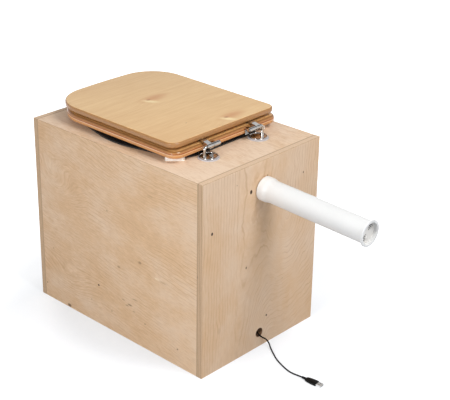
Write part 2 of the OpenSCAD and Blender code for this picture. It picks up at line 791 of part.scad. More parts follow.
// A canister with a stiffening groove, whose neck takes the spout
module urine_canister() {
    color(white) translate([seat_shift, can_y, ply_t]) difference() {
        union() {
            can_body(0);
            translate([0, spout_y - can_y, can_h - can_wall]) cylinder(d = neck_d + 2 * can_wall, h = neck_h + can_wall);
            translate([0, spout_y - can_y, can_h + neck_h - 5]) cylinder(d = neck_d + 2 * can_wall + 3, h = 3);
        }
        can_body(-can_wall);
        translate([0, spout_y - can_y, can_h - 3 * can_wall]) cylinder(d = neck_d, h = neck_h + 3 * can_wall + cut);
    }
}

// ---- Vent ----

// Points of half a cosine wave that joins two radii
function swoop(r0, r1, y0, y1, n = 8) =
    [for (k = [0:n]) [mix(r0, r1, (1 - cos(180 * k / n)) / 2), mix(y0, y1, k / n)]];

// Sets a shape drawn along +Z onto the rear face, drooping about the bell's lowest point
module on_vent() {
    translate([vent_x, box_d / 2 + pipe_gap, vent_z - bell_d / 2]) rotate([-droop, 0, 0])
        translate([0, 0, bell_d / 2]) rotate([-90, 0, 0]) children();
}

module vent_pipe() {
    bell = bell_d / 2;
    r = pipe_d / 2;
    color(white) on_vent() difference() {
        union() {
            rotate_extrude($fn = 96)
                polygon([
                    [0, 0], [bell - 1.2, 0], [bell - 0.35, 0.35], [bell, 1.2],
                    each swoop(bell, r, bell_l, bell_l + taper_l),
                    [r, pipe_l - end_l], [end_d / 2 - 0.6, pipe_l - end_l], [end_d / 2, pipe_l - end_l + 0.6],
                    [end_d / 2, pipe_l - 1.4], [end_d / 2 - 0.4, pipe_l - 0.4], [end_d / 2 - 1.4, pipe_l], [0, pipe_l]
                ]);
        }
        translate([0, 0, -cut]) cylinder(d = socket_d, h = socket_l + cut, $fn = 96);
        translate([0, 0, socket_l - cut]) cylinder(r = r - pipe_wall, h = pipe_l, $fn = 96);
        translate([0, 0, pipe_l - grille_in - grille_t]) cylinder(r = grille_r, h = pipe_l, $fn = 96);
    }
}

// A disc with two fans of four slots, one each side of its middle
module vent_grille() {
    fan_angle = 27;
    color(white) on_vent() translate([0, 0, pipe_l - grille_in - grille_t]) difference() {
        cylinder(r = grille_r - 0.1, h = grille_t, $fn = 96);
        for (half = [0, 180], k = [0:3]) let (reach = 6 + k * slot_step)
            rotate([0, 0, 50.7 + half]) translate([reach, 0, -cut]) linear_extrude(grille_t + 2 * cut)
                rotate([0, 0, 90]) stadium(2 * reach * tan(fan_angle), slot_w);
    }
}

// A flange on the inside of the panel with a tube through it that carries the pipe
module vent_adapter() {
    color(white) translate([vent_x, inner_face - adapter_flange, vent_z]) rotate([-90, 0, 0]) difference() {
        union() {
            linear_extrude(adapter_flange) rounded_square(fan_w, fan_w, 4);
            cylinder(d = adapter_d, h = adapter_flange + ply_t + adapter_out, $fn = 96);
        }
        translate([0, 0, -cut])
            cylinder(d = adapter_d - 2 * adapter_wall, h = adapter_flange + ply_t + adapter_out + 2 * cut, $fn = 96);
        for (x = [-1, 1], y = [-1, 1]) translate([x * fan_pitch / 2, y * fan_pitch / 2, -cut])
            cylinder(d = fan_screw_d + 2 * hole_fit, h = adapter_flange + 2 * cut);
    }
}

// ---- Fan ----

// Places children at the four screws of the fan, pointing out of the box
module at_fan_screws(y) {
    for (x = [-1, 1], z = [-1, 1])
        translate([vent_x + x * fan_pitch / 2, y, vent_z + z * fan_pitch / 2]) rotate([-90, 0, 0]) children();
}

module at_fan() {
    translate([vent_x, fan_front, vent_z]) rotate([-90, 0, 0]) children();
}

// A square frame with a round duct, and a motor plate on four struts
module fan_housing() {
    color(black) at_fan() {
        difference() {
            union() {
                for (z = [0, fan_t - fan_flange]) translate([0, 0, z]) linear_extrude(fan_flange) rounded_square(fan_w, fan_w, 4);
                cylinder(d = min(duct_d + 2.6, fan_w), h = fan_t, $fn = 96);
            }
            translate([0, 0, -cut]) cylinder(d = duct_d, h = fan_t + 2 * cut, $fn = 96);
            for (x = [-1, 1], y = [-1, 1]) translate([x * fan_pitch / 2, y * fan_pitch / 2, -cut])
                cylinder(d = fan_screw_d + 2 * hole_fit, h = fan_t + 2 * cut);
        }
        difference() {
            union() {
                cylinder(d = hub_d - 2, h = strut);
                for (a = [20:90:290]) rotate([0, 0, a]) translate([0, -1.5, 0]) cube([duct_d / 2 + 0.6, 3, strut]);
                cylinder(d = shaft_d + 2 * shaft_fit + 2 * bearing_wall, h = bearing_l);
            }
            translate([0, 0, strut / 2]) cylinder(r = shaft_d / 2 + shaft_fit, h = bearing_l);
        }
    }
}

// A cup with twisted blades that turns on a shaft in the bearing
module fan_rotor() {
    cup = fan_t - strut - rotor_gap - 2;
    tip = duct_d / 2 - tip_gap;
    root = hub_d / 2 - 0.6;
    color(black) at_fan() translate([0, 0, strut + rotor_gap]) {
        difference() {
            cylinder(d = hub_d, h = cup);
            translate([0, 0, -cut]) cylinder(r = hub_d / 2 - 1.5, h = cup - 1.5 + cut);
        }
        translate([0, 0, 0.6 - strut / 2]) cylinder(d = shaft_d, h = cup + strut / 2 - 1);
        for (k = [0:blades - 1]) rotate([0, 0, 360 * k / blades])
            translate([0, 0, 1]) linear_extrude(cup - 2, twist = 34, slices = 6, segments = 8)
                polygon([[root, -0.8], [tip, -0.6], [tip, 0.6], [root, 0.8]]);
    }
}

module fan_screws() {
    color(steel) at_fan_screws(fan_front)
        screw(fan_screw_d, fan_t + adapter_flange + fan_bite - 0.5, 1.7 * fan_screw_d, 2);
}

module fan_cable() {
    color(black) cable(lead_path, cord_d);
}

// ---- Cord and plug ----

module usb_cord() {
    color(black) cable(cord_path, cord_d);
}

// Sets a shape drawn along +Y, with the cord entering at its origin, at the end of the cord
module at_plug() {
    translate(cord_path[len(cord_path) - 1]) rotate([0, 0, plug_turn]) translate([0, cord_gap, 0]) children();
}

// The moulded body, with a ribbed strain relief where the cord enters
module usb_plug_body() {
    shape = [
        [0, 0.6], [0.8, 0.72], [3, 0.8], [8, 0.9], [15, 0.97], [22, 1], [plug_l - 1.2, 1], [plug_l - 0.4, 0.97], [plug_l, 0.92]
    ];
    color(black) at_plug() rotate([-90, 0, 0]) {
        cylinder(r1 = cord_d / 2 + 0.5, r2 = cord_d / 2 + 1.1, h = relief_l + cut);
        for (k = [0:3]) translate([0, 0, 1.2 + 2.4 * k]) cylinder(r = cord_d / 2 + 1 + 0.12 * k, h = 1.1);
        translate([0, 0, relief_l])
            loft([for (s = shape) at_height(egg(plug_w * s[1], plug_t * s[1], 4, 0, 32), s[0])]);
    }
}

// The metal shell, open at its tip, with two windows over the tongue
module usb_plug_shell() {
    wall = 0.35;
    color(steel) at_plug() translate([0, relief_l + plug_l, 0]) {
        difference() {
            translate([-shell_w / 2, 0, -shell_t / 2]) cube([shell_w, shell_l, shell_t]);
            translate([wall - shell_w / 2, wall, wall - shell_t / 2])
                cube([shell_w - 2 * wall, shell_l, shell_t - 2 * wall]);
            for (x = [-1, 1]) translate([x * shell_w / 4.8 - 1.1, 5.2, -shell_t]) cube([2.2, 2.2, 2 * shell_t]);
        }
        translate([wall / 2 - shell_w / 2, 0, -shell_t / 2 + wall / 2])
            cube([shell_w - wall, shell_l - 1, shell_t * 0.42]);
    }
}

panel_front();
panel_rear();
panel_left();
panel_right();
panel_top();
panel_bottom();
seat_ring();
seat_bumpers();
color(chrome) seat_strap(left);  // seat_strap_l
color(chrome) seat_strap(right);  // seat_strap_r
color(steel) strap_screws(seat_strap_x, seat_rear, seat_z);  // seat_screws
seat_lid();
lid_bumpers();
color(chrome) lid_strap(left);  // lid_strap_l
color(chrome) lid_strap(right);  // lid_strap_r
color(steel) strap_screws(lid_strap_x, lid_rear, lid_z);  // lid_screws
hinge_ring(left);  // hinge_ring_l
hinge_ring(right);  // hinge_ring_r
hinge_disc(left);  // hinge_disc_l
hinge_disc(right);  // hinge_disc_r
hinge_post(left);  // hinge_post_l
hinge_post(right);  // hinge_post_r
hinge_washers();
hinge_wing_nuts();
separator();
solids_bucket();
urine_canister();
vent_adapter();
vent_pipe();
vent_grille();
fan_housing();
fan_rotor();
fan_screws();
fan_cable();
usb_cord();
usb_plug_body();
usb_plug_shell();
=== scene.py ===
"""Composting toilet: a plywood box with a lacquered wooden seat and lid, chrome hinges, a vent pipe and a cord."""
from math import atan, atan2, copysign, cos, pi, radians, sin, tan
from typing import NamedTuple

import bmesh
import bpy
from mathutils import Matrix, Vector


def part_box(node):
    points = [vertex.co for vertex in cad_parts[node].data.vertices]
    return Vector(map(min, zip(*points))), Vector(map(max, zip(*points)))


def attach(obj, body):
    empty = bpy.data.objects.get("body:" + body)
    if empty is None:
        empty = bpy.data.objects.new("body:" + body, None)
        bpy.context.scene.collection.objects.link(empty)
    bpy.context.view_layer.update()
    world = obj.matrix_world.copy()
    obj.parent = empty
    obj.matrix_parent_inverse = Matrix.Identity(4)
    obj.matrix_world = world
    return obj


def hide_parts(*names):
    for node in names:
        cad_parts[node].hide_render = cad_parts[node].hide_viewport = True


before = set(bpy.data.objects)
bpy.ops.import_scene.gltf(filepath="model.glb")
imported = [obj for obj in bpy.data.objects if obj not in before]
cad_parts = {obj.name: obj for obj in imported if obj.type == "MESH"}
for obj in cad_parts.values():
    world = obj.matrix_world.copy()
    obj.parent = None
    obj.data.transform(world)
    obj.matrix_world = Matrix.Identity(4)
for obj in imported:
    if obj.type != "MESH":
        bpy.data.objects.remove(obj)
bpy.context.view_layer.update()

bl_info = {
    "name": "Composting Toilet",
    "version": (1, 0, 0),
    "blender": (4, 5, 0),
    "location": "3D View > Sidebar > Toilet",
    "description": "Dresses a composting toilet in plywood, lacquered wood, chrome and plastic",
    "category": "Object",
}

MM = 0.001


def srgb(red, green, blue):
    """The linear colour of an 8-bit screen colour."""
    parts = (red / 255, green / 255, blue / 255)
    return tuple(p / 12.92 if p <= 0.04045 else ((p + 0.055) / 1.055) ** 2.4 for p in parts)


def colour_of(label, meaning, red, green, blue):
    """A colour property with its default."""
    return bpy.props.FloatVectorProperty(
        name=label, description=meaning, subtype="COLOR", size=3, min=0, max=1, default=srgb(red, green, blue))


def length_of(label, meaning, default, low, high):
    """A length property, with its numbers in millimetres."""
    return bpy.props.FloatProperty(
        name=label, description=meaning, default=default * MM, min=low * MM, max=high * MM, unit="LENGTH")


# ---- sizes and colours that a user would change


class ToiletBoards(bpy.types.PropertyGroup):
    """Shape of the seat and the lid."""

    rear_radius: length_of("Rear corners", "Radius of the rear corners", 24, 20, 40)
    front_radius: length_of("Front corners", "Radius of the front corners", 89, 80, 105)
    front_swell: length_of("Front swell", "How far the front edge swells forward in the middle", 5.5, 3, 8)
    lid_edge: length_of("Lid edge", "Rounding of the lid's edges", 4, 2, 5)
    seat_edge: length_of("Seat edge", "Rounding of the seat's upper edges", 7, 4, 8)
    seat_under: length_of("Seat under edge", "Rounding of the seat's lower edges", 3, 1, 4)
    hole_width: length_of("Hole width", "Width of the hole in the seat", 226, 200, 236)
    hole_length: length_of("Hole length", "Length of the hole in the seat", 282, 250, 290)
    hole_inset: length_of("Hole inset", "From the rear edge of the seat to its hole", 66, 62, 75)


class ToiletWoods(bpy.types.PropertyGroup):
    """Colours of the plywood and of the lacquered boards."""

    ply_pale: colour_of("Plywood pale", "Paler patches of the box's veneer", 233, 207, 181)
    ply_warm: colour_of("Plywood warm", "Warmer patches of the box's veneer", 230, 193, 153)
    ply_line: colour_of("Plywood figure", "Darker streaks of the box's veneer", 200, 162, 124)
    edge: colour_of("Plywood edge", "Paler layers of the plywood's edges", 214, 183, 150)
    edge_line: colour_of("Plywood edge layers", "Darker layers of the plywood's edges", 168, 136, 105)
    honey: colour_of("Lid wood", "Lacquered veneer of the lid", 233, 193, 135)
    honey_line: colour_of("Lid figure", "Darker lines of the lid's veneer", 211, 162, 103)
    rim: colour_of("Lid edge", "Lacquered edge of the lid", 172, 124, 75)
    core: colour_of("Seat core", "Layers in the edge of the seat", 220, 168, 112)
    glue: colour_of("Glue line", "Thin line between the layers of the seat", 156, 80, 28)


class ToiletPlastics(bpy.types.PropertyGroup):
    """Colours of the plastic, rubber and metal."""

    pipe: colour_of("Pipe", "White plastic of the vent pipe", 232, 232, 231)
    bumper: colour_of("Bumpers", "White rubber of the bumpers", 250, 248, 244)
    washer: colour_of("Hinge rings", "Pale plastic of the rings under the hinges", 188, 183, 185)
    black: colour_of("Black plastic", "Separator, bucket and fan", 27, 28, 31)
    natural: colour_of("Canister", "Natural plastic of the canister", 226, 228, 222)
    sheath: colour_of("Cord", "Sheath of the cord and body of its plug", 4, 4, 5)


# ---- shader maths


class Wire:
    """A node's output socket; arithmetic on it adds Math nodes."""

    def __init__(self, graph, socket):
        self.graph = graph
        self.socket = socket

    def _math(self, operation, *operands, clamp=False):
        settings = {"operation": operation, "use_clamp": clamp}
        return self.graph.node("ShaderNodeMath", settings, dict(enumerate(operands)))

    def __add__(self, other):
        return self._math("ADD", self, other)

    __radd__ = __add__

    def __sub__(self, other):
        return self._math("SUBTRACT", self, other)

    def __rsub__(self, other):
        return self._math("SUBTRACT", other, self)

    def __mul__(self, other):
        return self._math("MULTIPLY", self, other)

    __rmul__ = __mul__

    def __pow__(self, other):
        return self._math("POWER", self, other)

    def __abs__(self):
        return self._math("ABSOLUTE", self)

    def larger(self, other):
        return self._math("MAXIMUM", self, other)

    def clamped(self):
        return self._math("ADD", self, 0.0, clamp=True)

    def wave(self):
        """1 at each whole number and 0 halfway between."""
        return abs(self._math("FRACT", self) * 2 - 1)

    def ramp(self, low, high):
        """0 below low and 1 above high, smooth between; low may be the larger."""
        first, last = sorted((low, high))
        rise = self.graph.node(
            "ShaderNodeMapRange", {"interpolation_type": "SMOOTHSTEP"},
            {"Value": self, "From Min": first, "From Max": last})
        return rise if low < high else 1 - rise


class Graph:
    """The nodes of a material or a world, made by one method."""

    def __init__(self, owner):
        owner.use_nodes = True
        self.tree = owner.node_tree
        self.tree.nodes.clear()

    def _feed(self, socket, value):
        if isinstance(value, Wire):
            self.tree.links.new(value.socket, socket)
        elif socket.type == "RGBA" and len(value) == 3:
            socket.default_value = (*value, 1.0)
        else:
            socket.default_value = value

    def node(self, kind, settings=None, inputs=None, output=0):
        """Adds a node: its settings first, then the values or links of its sockets."""
        made = self.tree.nodes.new(kind)
        for key, value in (settings or {}).items():
            setattr(made, key, value)
        for key, value in (inputs or {}).items():
            self._feed(made.inputs[key], value)
        return Wire(self, made.outputs[output]) if made.outputs else None

    def axes(self, coordinate):
        """The X, Y and Z of a texture coordinate: Object is the place in metres, and Normal the direction."""
        vector = self.node("ShaderNodeTexCoord", output=coordinate)
        first = self.node("ShaderNodeSeparateXYZ", None, {0: vector})
        return [Wire(self, socket) for socket in first.socket.node.outputs]

    def vector(self, x, y, z):
        return self.node("ShaderNodeCombineXYZ", None, {0: x, 1: y, 2: z})

    def distance(self, place, point):
        inputs = {0: self.vector(*place), 1: point}
        return self.node("ShaderNodeVectorMath", {"operation": "DISTANCE"}, inputs, output=1)

    def noise(self, x, y, z, scale=1.0, detail=2.0, roughness=0.5):
        """Smooth noise, about 0.25 to 0.75."""
        inputs = {"Vector": self.vector(x, y, z), "Scale": scale, "Detail": detail, "Roughness": roughness}
        return self.node("ShaderNodeTexNoise", None, inputs)

    def mix(self, first, second, factor):
        """A colour between two colours."""
        return self.node("ShaderNodeMix", {"data_type": "RGBA"}, {0: factor, 6: first, 7: second}, output=2)

    def over(self, colour, *coats):
        """Lays coats over a colour, each given as its colour and how much of it shows."""
        for coat, share in coats:
            colour = self.mix(colour, coat, share)
        return colour

    def scaled(self, colour, factor):
        """A colour made lighter or darker by a number."""
        return self.node("ShaderNodeVectorMath", {"operation": "SCALE"}, {0: colour, 3: factor})


class Finish(Graph):
    """A material with one shader."""

    def __init__(self, name):
        self.material = bpy.data.materials.new(name)
        super().__init__(self.material)
        surface = self.node("ShaderNodeBsdfPrincipled")
        self.shader = surface.socket.node
        self.node("ShaderNodeOutputMaterial", None, {"Surface": surface})

    def set(self, **inputs):
        """Sets the shader's own sockets, named with underscores for spaces."""
        for key, value in inputs.items():
            self._feed(self.shader.inputs[key.replace("_", " ")], value)
        return self

    def bump(self, height, strength, distance):
        normal = self.node("ShaderNodeBump", None, {"Height": height, "Strength": strength, "Distance": distance})
        return self.set(Normal=normal)


# ---- wood


class Knot(NamedTuple):
    """A knot or a mark on a face, in millimetres along the two axes of the face."""

    along: float
    across: float
    size: float             # radius of its dark core
    depth: float            # how dark the core is, or how pale below zero
    long: float             # how far it is drawn out along the grain
    swirl: float            # how many rings it pushes the figure aside


class Figure(NamedTuple):
    """How the veneer of one board looks."""

    knots: tuple = ()
    bend: object = None     # function that adds to the place across the grain, from a finish and the X, Y and Z
    hair: float = 0.3       # how strong its thin brown growth lines are
    streaks: float = 1.0    # how strong its short streaks are
    sway: float = 0.8       # how much its figure wanders
    warmth: float = 0.4     # how much of it is the warm wood
    shade: float = 0.30     # how dark it is as a whole
    fade: float = 0.0       # painted light: how much darker it gets in a metre along the grain, for the lamp's light falling off across the board
    shaded_bore: tuple = ()        # X, Z and radius of a hole drilled through it, whose wall is painted darker for the shade inside the hole


RINGS = 118                # growth lines in a metre of veneer
STREAKS = 460              # short streaks in a metre
FIBRES = 1500              # fibres in a metre
PLIES = 7                  # layers in a board


def flow(finish, along, across, seed, figure):
    """The place across the grain, bent by slow waves and round the knots, and how near each place is to a mark.

    Lines of equal value are the lines of the figure.
    """
    broad = finish.noise(along * 2.6, across * 6, seed, detail=1.5)
    ripple = finish.noise(along * 15, across * 32, seed + 1, detail=2.5)
    bent = across + 0.060 * figure.sway * broad + 0.011 * figure.sway * ripple
    marks = {}
    for knot in figure.knots:
        stretch = 1 / knot.long
        away = finish.distance((along * stretch, across, 0.0), (knot.along * MM * stretch, knot.across * MM, 0.0))
        if knot.swirl:
            reach = max(knot.size * 5, 11.0) * MM
            bent = bent + knot.swirl * knot.size * MM * away.ramp(reach, 0)
        if knot.depth:
            spot = away.ramp(knot.size * 1.35 * MM, knot.size * 0.55 * MM) * abs(knot.depth)
            kind = "dark" if knot.depth > 0 else "pale"
            marks[kind] = marks[kind].larger(spot) if kind in marks else spot
    return bent, marks.get("dark"), marks.get("pale")


def veneer(finish, woods, along, across, seed, figure, place):
    """Colour and relief of the box's peeled birch veneer."""
    bent, dark, pale = flow(finish, along, across, seed, figure)
    if figure.bend:
        bent = bent + figure.bend(finish, place)
    clear = finish.noise(along * 7, across * 11, seed + 3, detail=3)
    grown = bent * RINGS + 1.2 * finish.noise(along * 17, across * 27, seed + 4, detail=3)
    hair = grown.wave().ramp(0.72, 0.98) * clear.ramp(0.38, 0.60) * figure.hair
    streak = finish.noise(bent * STREAKS, along * 48, seed + 5, detail=3, roughness=0.70)
    soft = finish.noise(bent * 150, along * 18, seed + 7, detail=5, roughness=0.74)
    fibre = finish.noise(bent * FIBRES, along * 60, seed + 6, detail=1)
    fleck = streak.ramp(0.68, 0.76) * clear.ramp(0.50, 0.62)
    tone = finish.noise(along * 6, across * 9, seed + 9, detail=5, roughness=0.68)
    strength = 1.7 * (streak - 0.5) + 0.8 * (soft - 0.5) + 1.0 * (tone - 0.5) + 0.3 * (fibre - 0.5)
    # painted light: the fall-off term darkens the veneer along the grain, standing in for the lamp's light falling off
    # across the board
    strength = figure.shade + figure.fade * along + figure.streaks * strength
    if pale is not None:
        strength = strength - 0.75 * pale
    colour = finish.over(
        woods.ply_pale,
        (woods.ply_warm, (figure.warmth + 3.0 * (tone - 0.5)).clamped()),
        (woods.ply_line, strength.clamped()),
        (srgb(180, 136, 92), (hair + 0.35 * fleck).clamped()))
    if pale is not None:
        colour = finish.mix(colour, srgb(246, 226, 196), (pale * (2.6 * streak - 0.8)).clamped())
    if dark is not None:
        halo, core = (dark * 3).clamped() * 0.5, (dark * 1.8 - 0.30).clamped()
        colour = finish.over(colour, (srgb(146, 108, 78), halo), (srgb(46, 24, 12), core))
    return colour, fibre - 0.4 * fleck


def plywood(name, woods, thick, grain, outer, ply_t, seed, figure):
    """Birch plywood: veneer on both faces and layers in the edges, for a board lying across one axis.

    thick and grain are axes, and outer is where the outer face lies on the thick axis.
    """
    finish = Finish(name)
    place, facing = finish.axes("Object"), finish.axes("Normal")
    along, across, depth = place[grain], place[3 - thick - grain], place[thick]
    face, relief = veneer(finish, woods, along, across, depth * 0.4 + seed, figure, place)

    wobble = finish.noise(*(axis * 14 for axis in place))
    layer = abs(depth - outer) * (PLIES / ply_t) + 0.30 * (wobble - 0.5)
    stripe = ((layer - 0.5) * 0.5).wave().ramp(0.62, 0.38)      # the second, fourth and sixth layers show end grain
    pores = finish.noise(*(axis * 420 for axis in place))
    length = finish.noise(*(axis * (30 if i == grain else 900) for i, axis in enumerate(place)))
    void = finish.noise(along * 30, across * 30, depth * 60 + seed, detail=1).ramp(0.72, 0.78) * stripe
    # painted light: edges that face up are painted paler and greyer, as if lit from above
    upward_lit = facing[2].ramp(0.85, 0.97)
    edge = finish.over(
        woods.edge,
        (woods.edge_line, (stripe * (0.75 + 0.7 * (pores - 0.5)) + 0.5 * (length - 0.5)).clamped()),
        (srgb(134, 98, 68), 0.35 * layer.wave().ramp(0.86, 0.98)),      # glue between the layers
        (srgb(70, 48, 32), void * 0.8),
        (finish.mix(woods.ply_pale, woods.edge, 0.6 * stripe + 0.2), 0.75 * upward_lit),
        # partly painted shade: the innermost layer of each edge is darker, a dark joint line where it meets the next
        # board and painted shade of the gap between them
        (srgb(178, 148, 120), 0.8 * upward_lit * layer.ramp(5.2, 6.2)),
        (srgb(134, 102, 74), (0.7 - 0.7 * upward_lit) * layer.ramp(6.2, 6.8)))
    on_edge = abs(facing[thick]).ramp(0.94, 0.80)
    # partly painted shade: along the boards' edges, where the normal leans between two axes, a darker brown is laid, a
    # dark joint line and painted shade at the arris and in the gap
    widest = abs(facing[0]).larger(abs(facing[1])).larger(abs(facing[2]))
    colour = finish.over(face, (edge, on_edge), (srgb(140, 106, 74), 0.32 * widest.ramp(0.93, 0.82)))
    # painted shade: the wall of the drilled hole is darkened for the shade inside it
    if figure.shaded_bore:
        x, z, radius = figure.shaded_bore
        wall = finish.distance((place[0], 0.0, place[2]), (x, 0.0, z)).ramp(radius + 0.5 * MM, radius - 0.2 * MM)
        colour = finish.mix(colour, srgb(122, 88, 60), wall)
    finish.set(Base_Color=colour, Roughness=0.58 + 0.14 * (relief - 0.3), Specular_IOR_Level=0.30)
    return finish.bump(relief + 0.5 * pores * on_edge, 0.14, 0.0004)


SIDE_KNOTS = [Knot(*row) for row in (
    (-57.9, 100.8, 2.2, 1, 1.1, 1.2), (11.7, 173.5, 3, 0.24, 1.8, 0.8), (79.9, 209.1, 3.4, 0.26, 1.5, 0.8),
    (45.2, 90.8, 2.2, 0.32, 3.6, 0.6), (61.8, 110.3, 1.6, 0.24, 6, 0.5), (-165.2, 4.7, 4.2, 0.48, 1.6, 1),
    (-215.1, 137.8, 1.6, 0.28, 1.2, 0.8), (-244.7, 35.5, 1.9, 0.42, 1, 0.8), (92.9, 62.3, 1.5, 0.34, 1.6, 0.6),
    (-23, 298.5, 2, 0.22, 1.8, 1.4), (-15.7, 50.3, 1.5, 0.30, 1.4, 0.6), (-84.2, 53.8, 1.4, 0.28, 1.4, 0.6),
    (113.7, 376.8, 4, 0.12, 2.2, 1.4), (133, 190, 2.6, -1.5, 2.6, 1.4), (152, 187, 1.6, 0.16, 8, 0.6),
    (36, 86, 1.6, 0.28, 3.4, 0), (58, 79, 1.5, 0.24, 3, 0), (24, 96, 1.6, 0.22, 3.4, 0),
    (193.5, 42, 2, 0.42, 1.3, 0.8), (-216.5, 321.7, 15, 0, 1.2, 3), (-165.5, 290.6, 13, 0, 1.3, 2.8),
    (-95, 250, 8, 0, 2.6, 0.9), (150, 300, 8, 0, 2.2, 0.8),
)]
REAR_KNOTS = [Knot(*row) for row in (
    (389, 38.4, 3.4, 1, 1.3, 0.4), (333.3, 154.8, 2.7, 1, 1.3, 0.4), (215.6, 48, 2.1, 0.55, 1.4, 0.5),
    (381.7, -130.9, 1.9, 0.55, 1.2, 1), (70.5, -23.2, 2.3, 0.80, 1, 1), (411.5, -12.5, 1.5, 0.45, 1.4, 0.4),
    (417.8, 82.2, 1.4, 0.28, 1.2, 0.4), (150.9, -49.6, 1.5, 0.30, 0.35, 0.4), (144, -73.7, 1.5, 0.28, 0.5, 0.4),
    (95, 130, 5, 0.10, 1.6, 1.2), (310, 160, 9, 0, 2.4, 0.8),
)]


def side_bend(finish, place):
    """Long figure that sinks a little towards the rear, with a wide oval low down near the front."""
    y, z = place[1], place[2]
    oval = finish.distance((y * 0.55, z, 0.0), (-0.175 * 0.55, 0.072, 0)).ramp(0.075, 0.0)
    hill = finish.distance((y * 0.45, z, 0.0), (0.020, 0.400, 0)).ramp(0.12, 0.0)
    return 0.034 * oval + 0.020 * hill + y * 0.16


def rear_bend(finish, place):
    """Straight figure on the left, and arches nested below the pipe on its right, which ripple lower down."""
    x, z = place[0], place[2]
    down = (0.305 - z).larger(0.0)
    ripple = finish.noise(x * 26, z * 17, 3.0)
    arch = ((x + 0.080) ** 2 + (down * 0.70) ** 2) ** 0.5 + 0.022 * (ripple - 0.5)
    return (arch - x) * x.ramp(0.090, -0.040)


CABLE_HOLE = (-0.4 * MM, 35.5 * MM, 11 * MM)       # X, Z and radius


class TOILET_OT_box(bpy.types.Operator):
    """Dresses the six boards of the box in birch plywood"""

    bl_idname = "toilet.box"
    bl_label = "Box"

    def execute(self, context):
        woods = context.scene.toilet_woods
        ply_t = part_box("panel_bottom")[1][2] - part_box("panel_bottom")[0][2]
        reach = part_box("panel_top")[1]
        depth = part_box("panel_rear")[1][1]
        boards = [
            # painted light: the left panel is darker towards the front and paler towards the rear, for the fall-off of
            # the side lamp's light
            ("panel_left", 0, 1, reach[0], 0.0, Figure(
                SIDE_KNOTS, side_bend, hair=0.35, sway=0.60, warmth=0.66, shade=0.28, fade=-0.60)),
            ("panel_right", 0, 1, -reach[0], 2.7, Figure(SIDE_KNOTS[2:10], side_bend, hair=0.24, sway=0.7, warmth=0.6)),
            ("panel_rear", 1, 2, depth, 5.1, Figure(
                REAR_KNOTS, rear_bend, hair=0.38, streaks=0.40, sway=0.26, warmth=0.36, shade=0.33, shaded_bore=CABLE_HOLE)),
            ("panel_front", 1, 2, -depth, 8.4, Figure(REAR_KNOTS[2:], hair=0.26, streaks=0.8, sway=1.0)),
            ("panel_top", 2, 1, reach[2], 11.6, Figure(hair=0.10, streaks=1.30, sway=0.7, warmth=0.02, shade=0.14)),
            ("panel_bottom", 2, 1, 0.0, 14.2, Figure()),
        ]
        for node, thick, grain, outer, seed, figure in boards:
            wear(node, plywood(node + " birch", woods, thick, grain, outer, ply_t, seed, figure))
        return {"FINISHED"}


LACQUER = {"Specular_IOR_Level": 0.2, "Coat_IOR": 1.46}
LID_EYES = ((6.6, -71.9), (-36.9, 124.1))       # where the figure of the lid's veneer closes round a bud


def lid_wood(woods, top):
    """Lacquered veneer on the faces of the lid, and its darker rounded edge."""
    finish = Finish("lid lacquered wood")
    x, y, z = finish.axes("Object")
    facing = finish.axes("Normal")
    knots = [Knot(eye_x, eye_y, 9.0, 0.0, 1.7, 1.6) for eye_x, eye_y in LID_EYES]
    knots += [Knot(48, 86, 1.5, 0.45, 1.5, 0.4), Knot(-110, 20, 1.4, 0.16, 1.4, 0.3)]
    bent, dark, _ = flow(finish, x, y, z * 0.4 + 21, Figure(knots))
    growth = finish.noise(bent * 100, x * 3.5, 22.0)
    streak = finish.noise(bent * 400, x * 20, 23.0, detail=3, roughness=0.6)
    tone = finish.noise(x * 5, y * 8, z + 31)
    strength = 0.34 + 1.0 * (streak - 0.5) + 0.7 * (growth - 0.5) + 0.8 * (0.5 - tone)
    colour = finish.mix(woods.honey, woods.honey_line, strength.clamped())
    upper = facing[2].ramp(-0.1, 0.1)
    for eye_x, eye_y in LID_EYES:
        # each eye has a pale flare before it and a warm one behind it, on the upper face alone
        warm = finish.distance((x * 0.42, y, 0.0), ((eye_x - 17) * 0.42 * MM, (eye_y - 2) * MM, 0))
        pale_x, pale_y = eye_x + 4, eye_y + 9
        pale = finish.distance(
            (x * 0.8 + y * 0.5, y * 0.30 - x * 0.25, 0.0),
            ((pale_x * 0.8 + pale_y * 0.5) * MM, (pale_y * 0.30 - pale_x * 0.25) * MM, 0))
        heart = finish.distance((x * 0.7, y, 0.0), (eye_x * 0.7 * MM, (eye_y - 1) * MM, 0))
        colour = finish.over(
            colour,
            (srgb(204, 140, 80), warm.ramp(0.024, 0.001) * 0.80 * upper),
            (srgb(250, 224, 166), pale.ramp(0.011, 0.001) * (0.35 + 1.1 * streak).clamped() * upper),
            (srgb(176, 114, 62), heart.ramp(0.0065, 0.001) * 0.80 * upper))
    colour = finish.mix(colour, srgb(116, 78, 48), dark)
    layer = ((z - top) * 400 + 0.4 * finish.noise(x * 20, y * 20, z * 60)).wave()
    ends = finish.noise(x * 300, y * 300, z * 200)
    edge = finish.mix(woods.rim, srgb(150, 100, 56), (0.25 * layer.ramp(0.7, 1.0) + 1.1 * (ends - 0.42)).clamped())
    colour = finish.mix(colour, edge, abs(facing[2]).ramp(0.985, 0.90))
    finish.set(Base_Color=colour, Roughness=0.42 + 0.12 * streak, Coat_Weight=0.7, Coat_Roughness=0.10, **LACQUER)
    return finish.bump(streak + 0.4 * tone, 0.07, 0.0003)


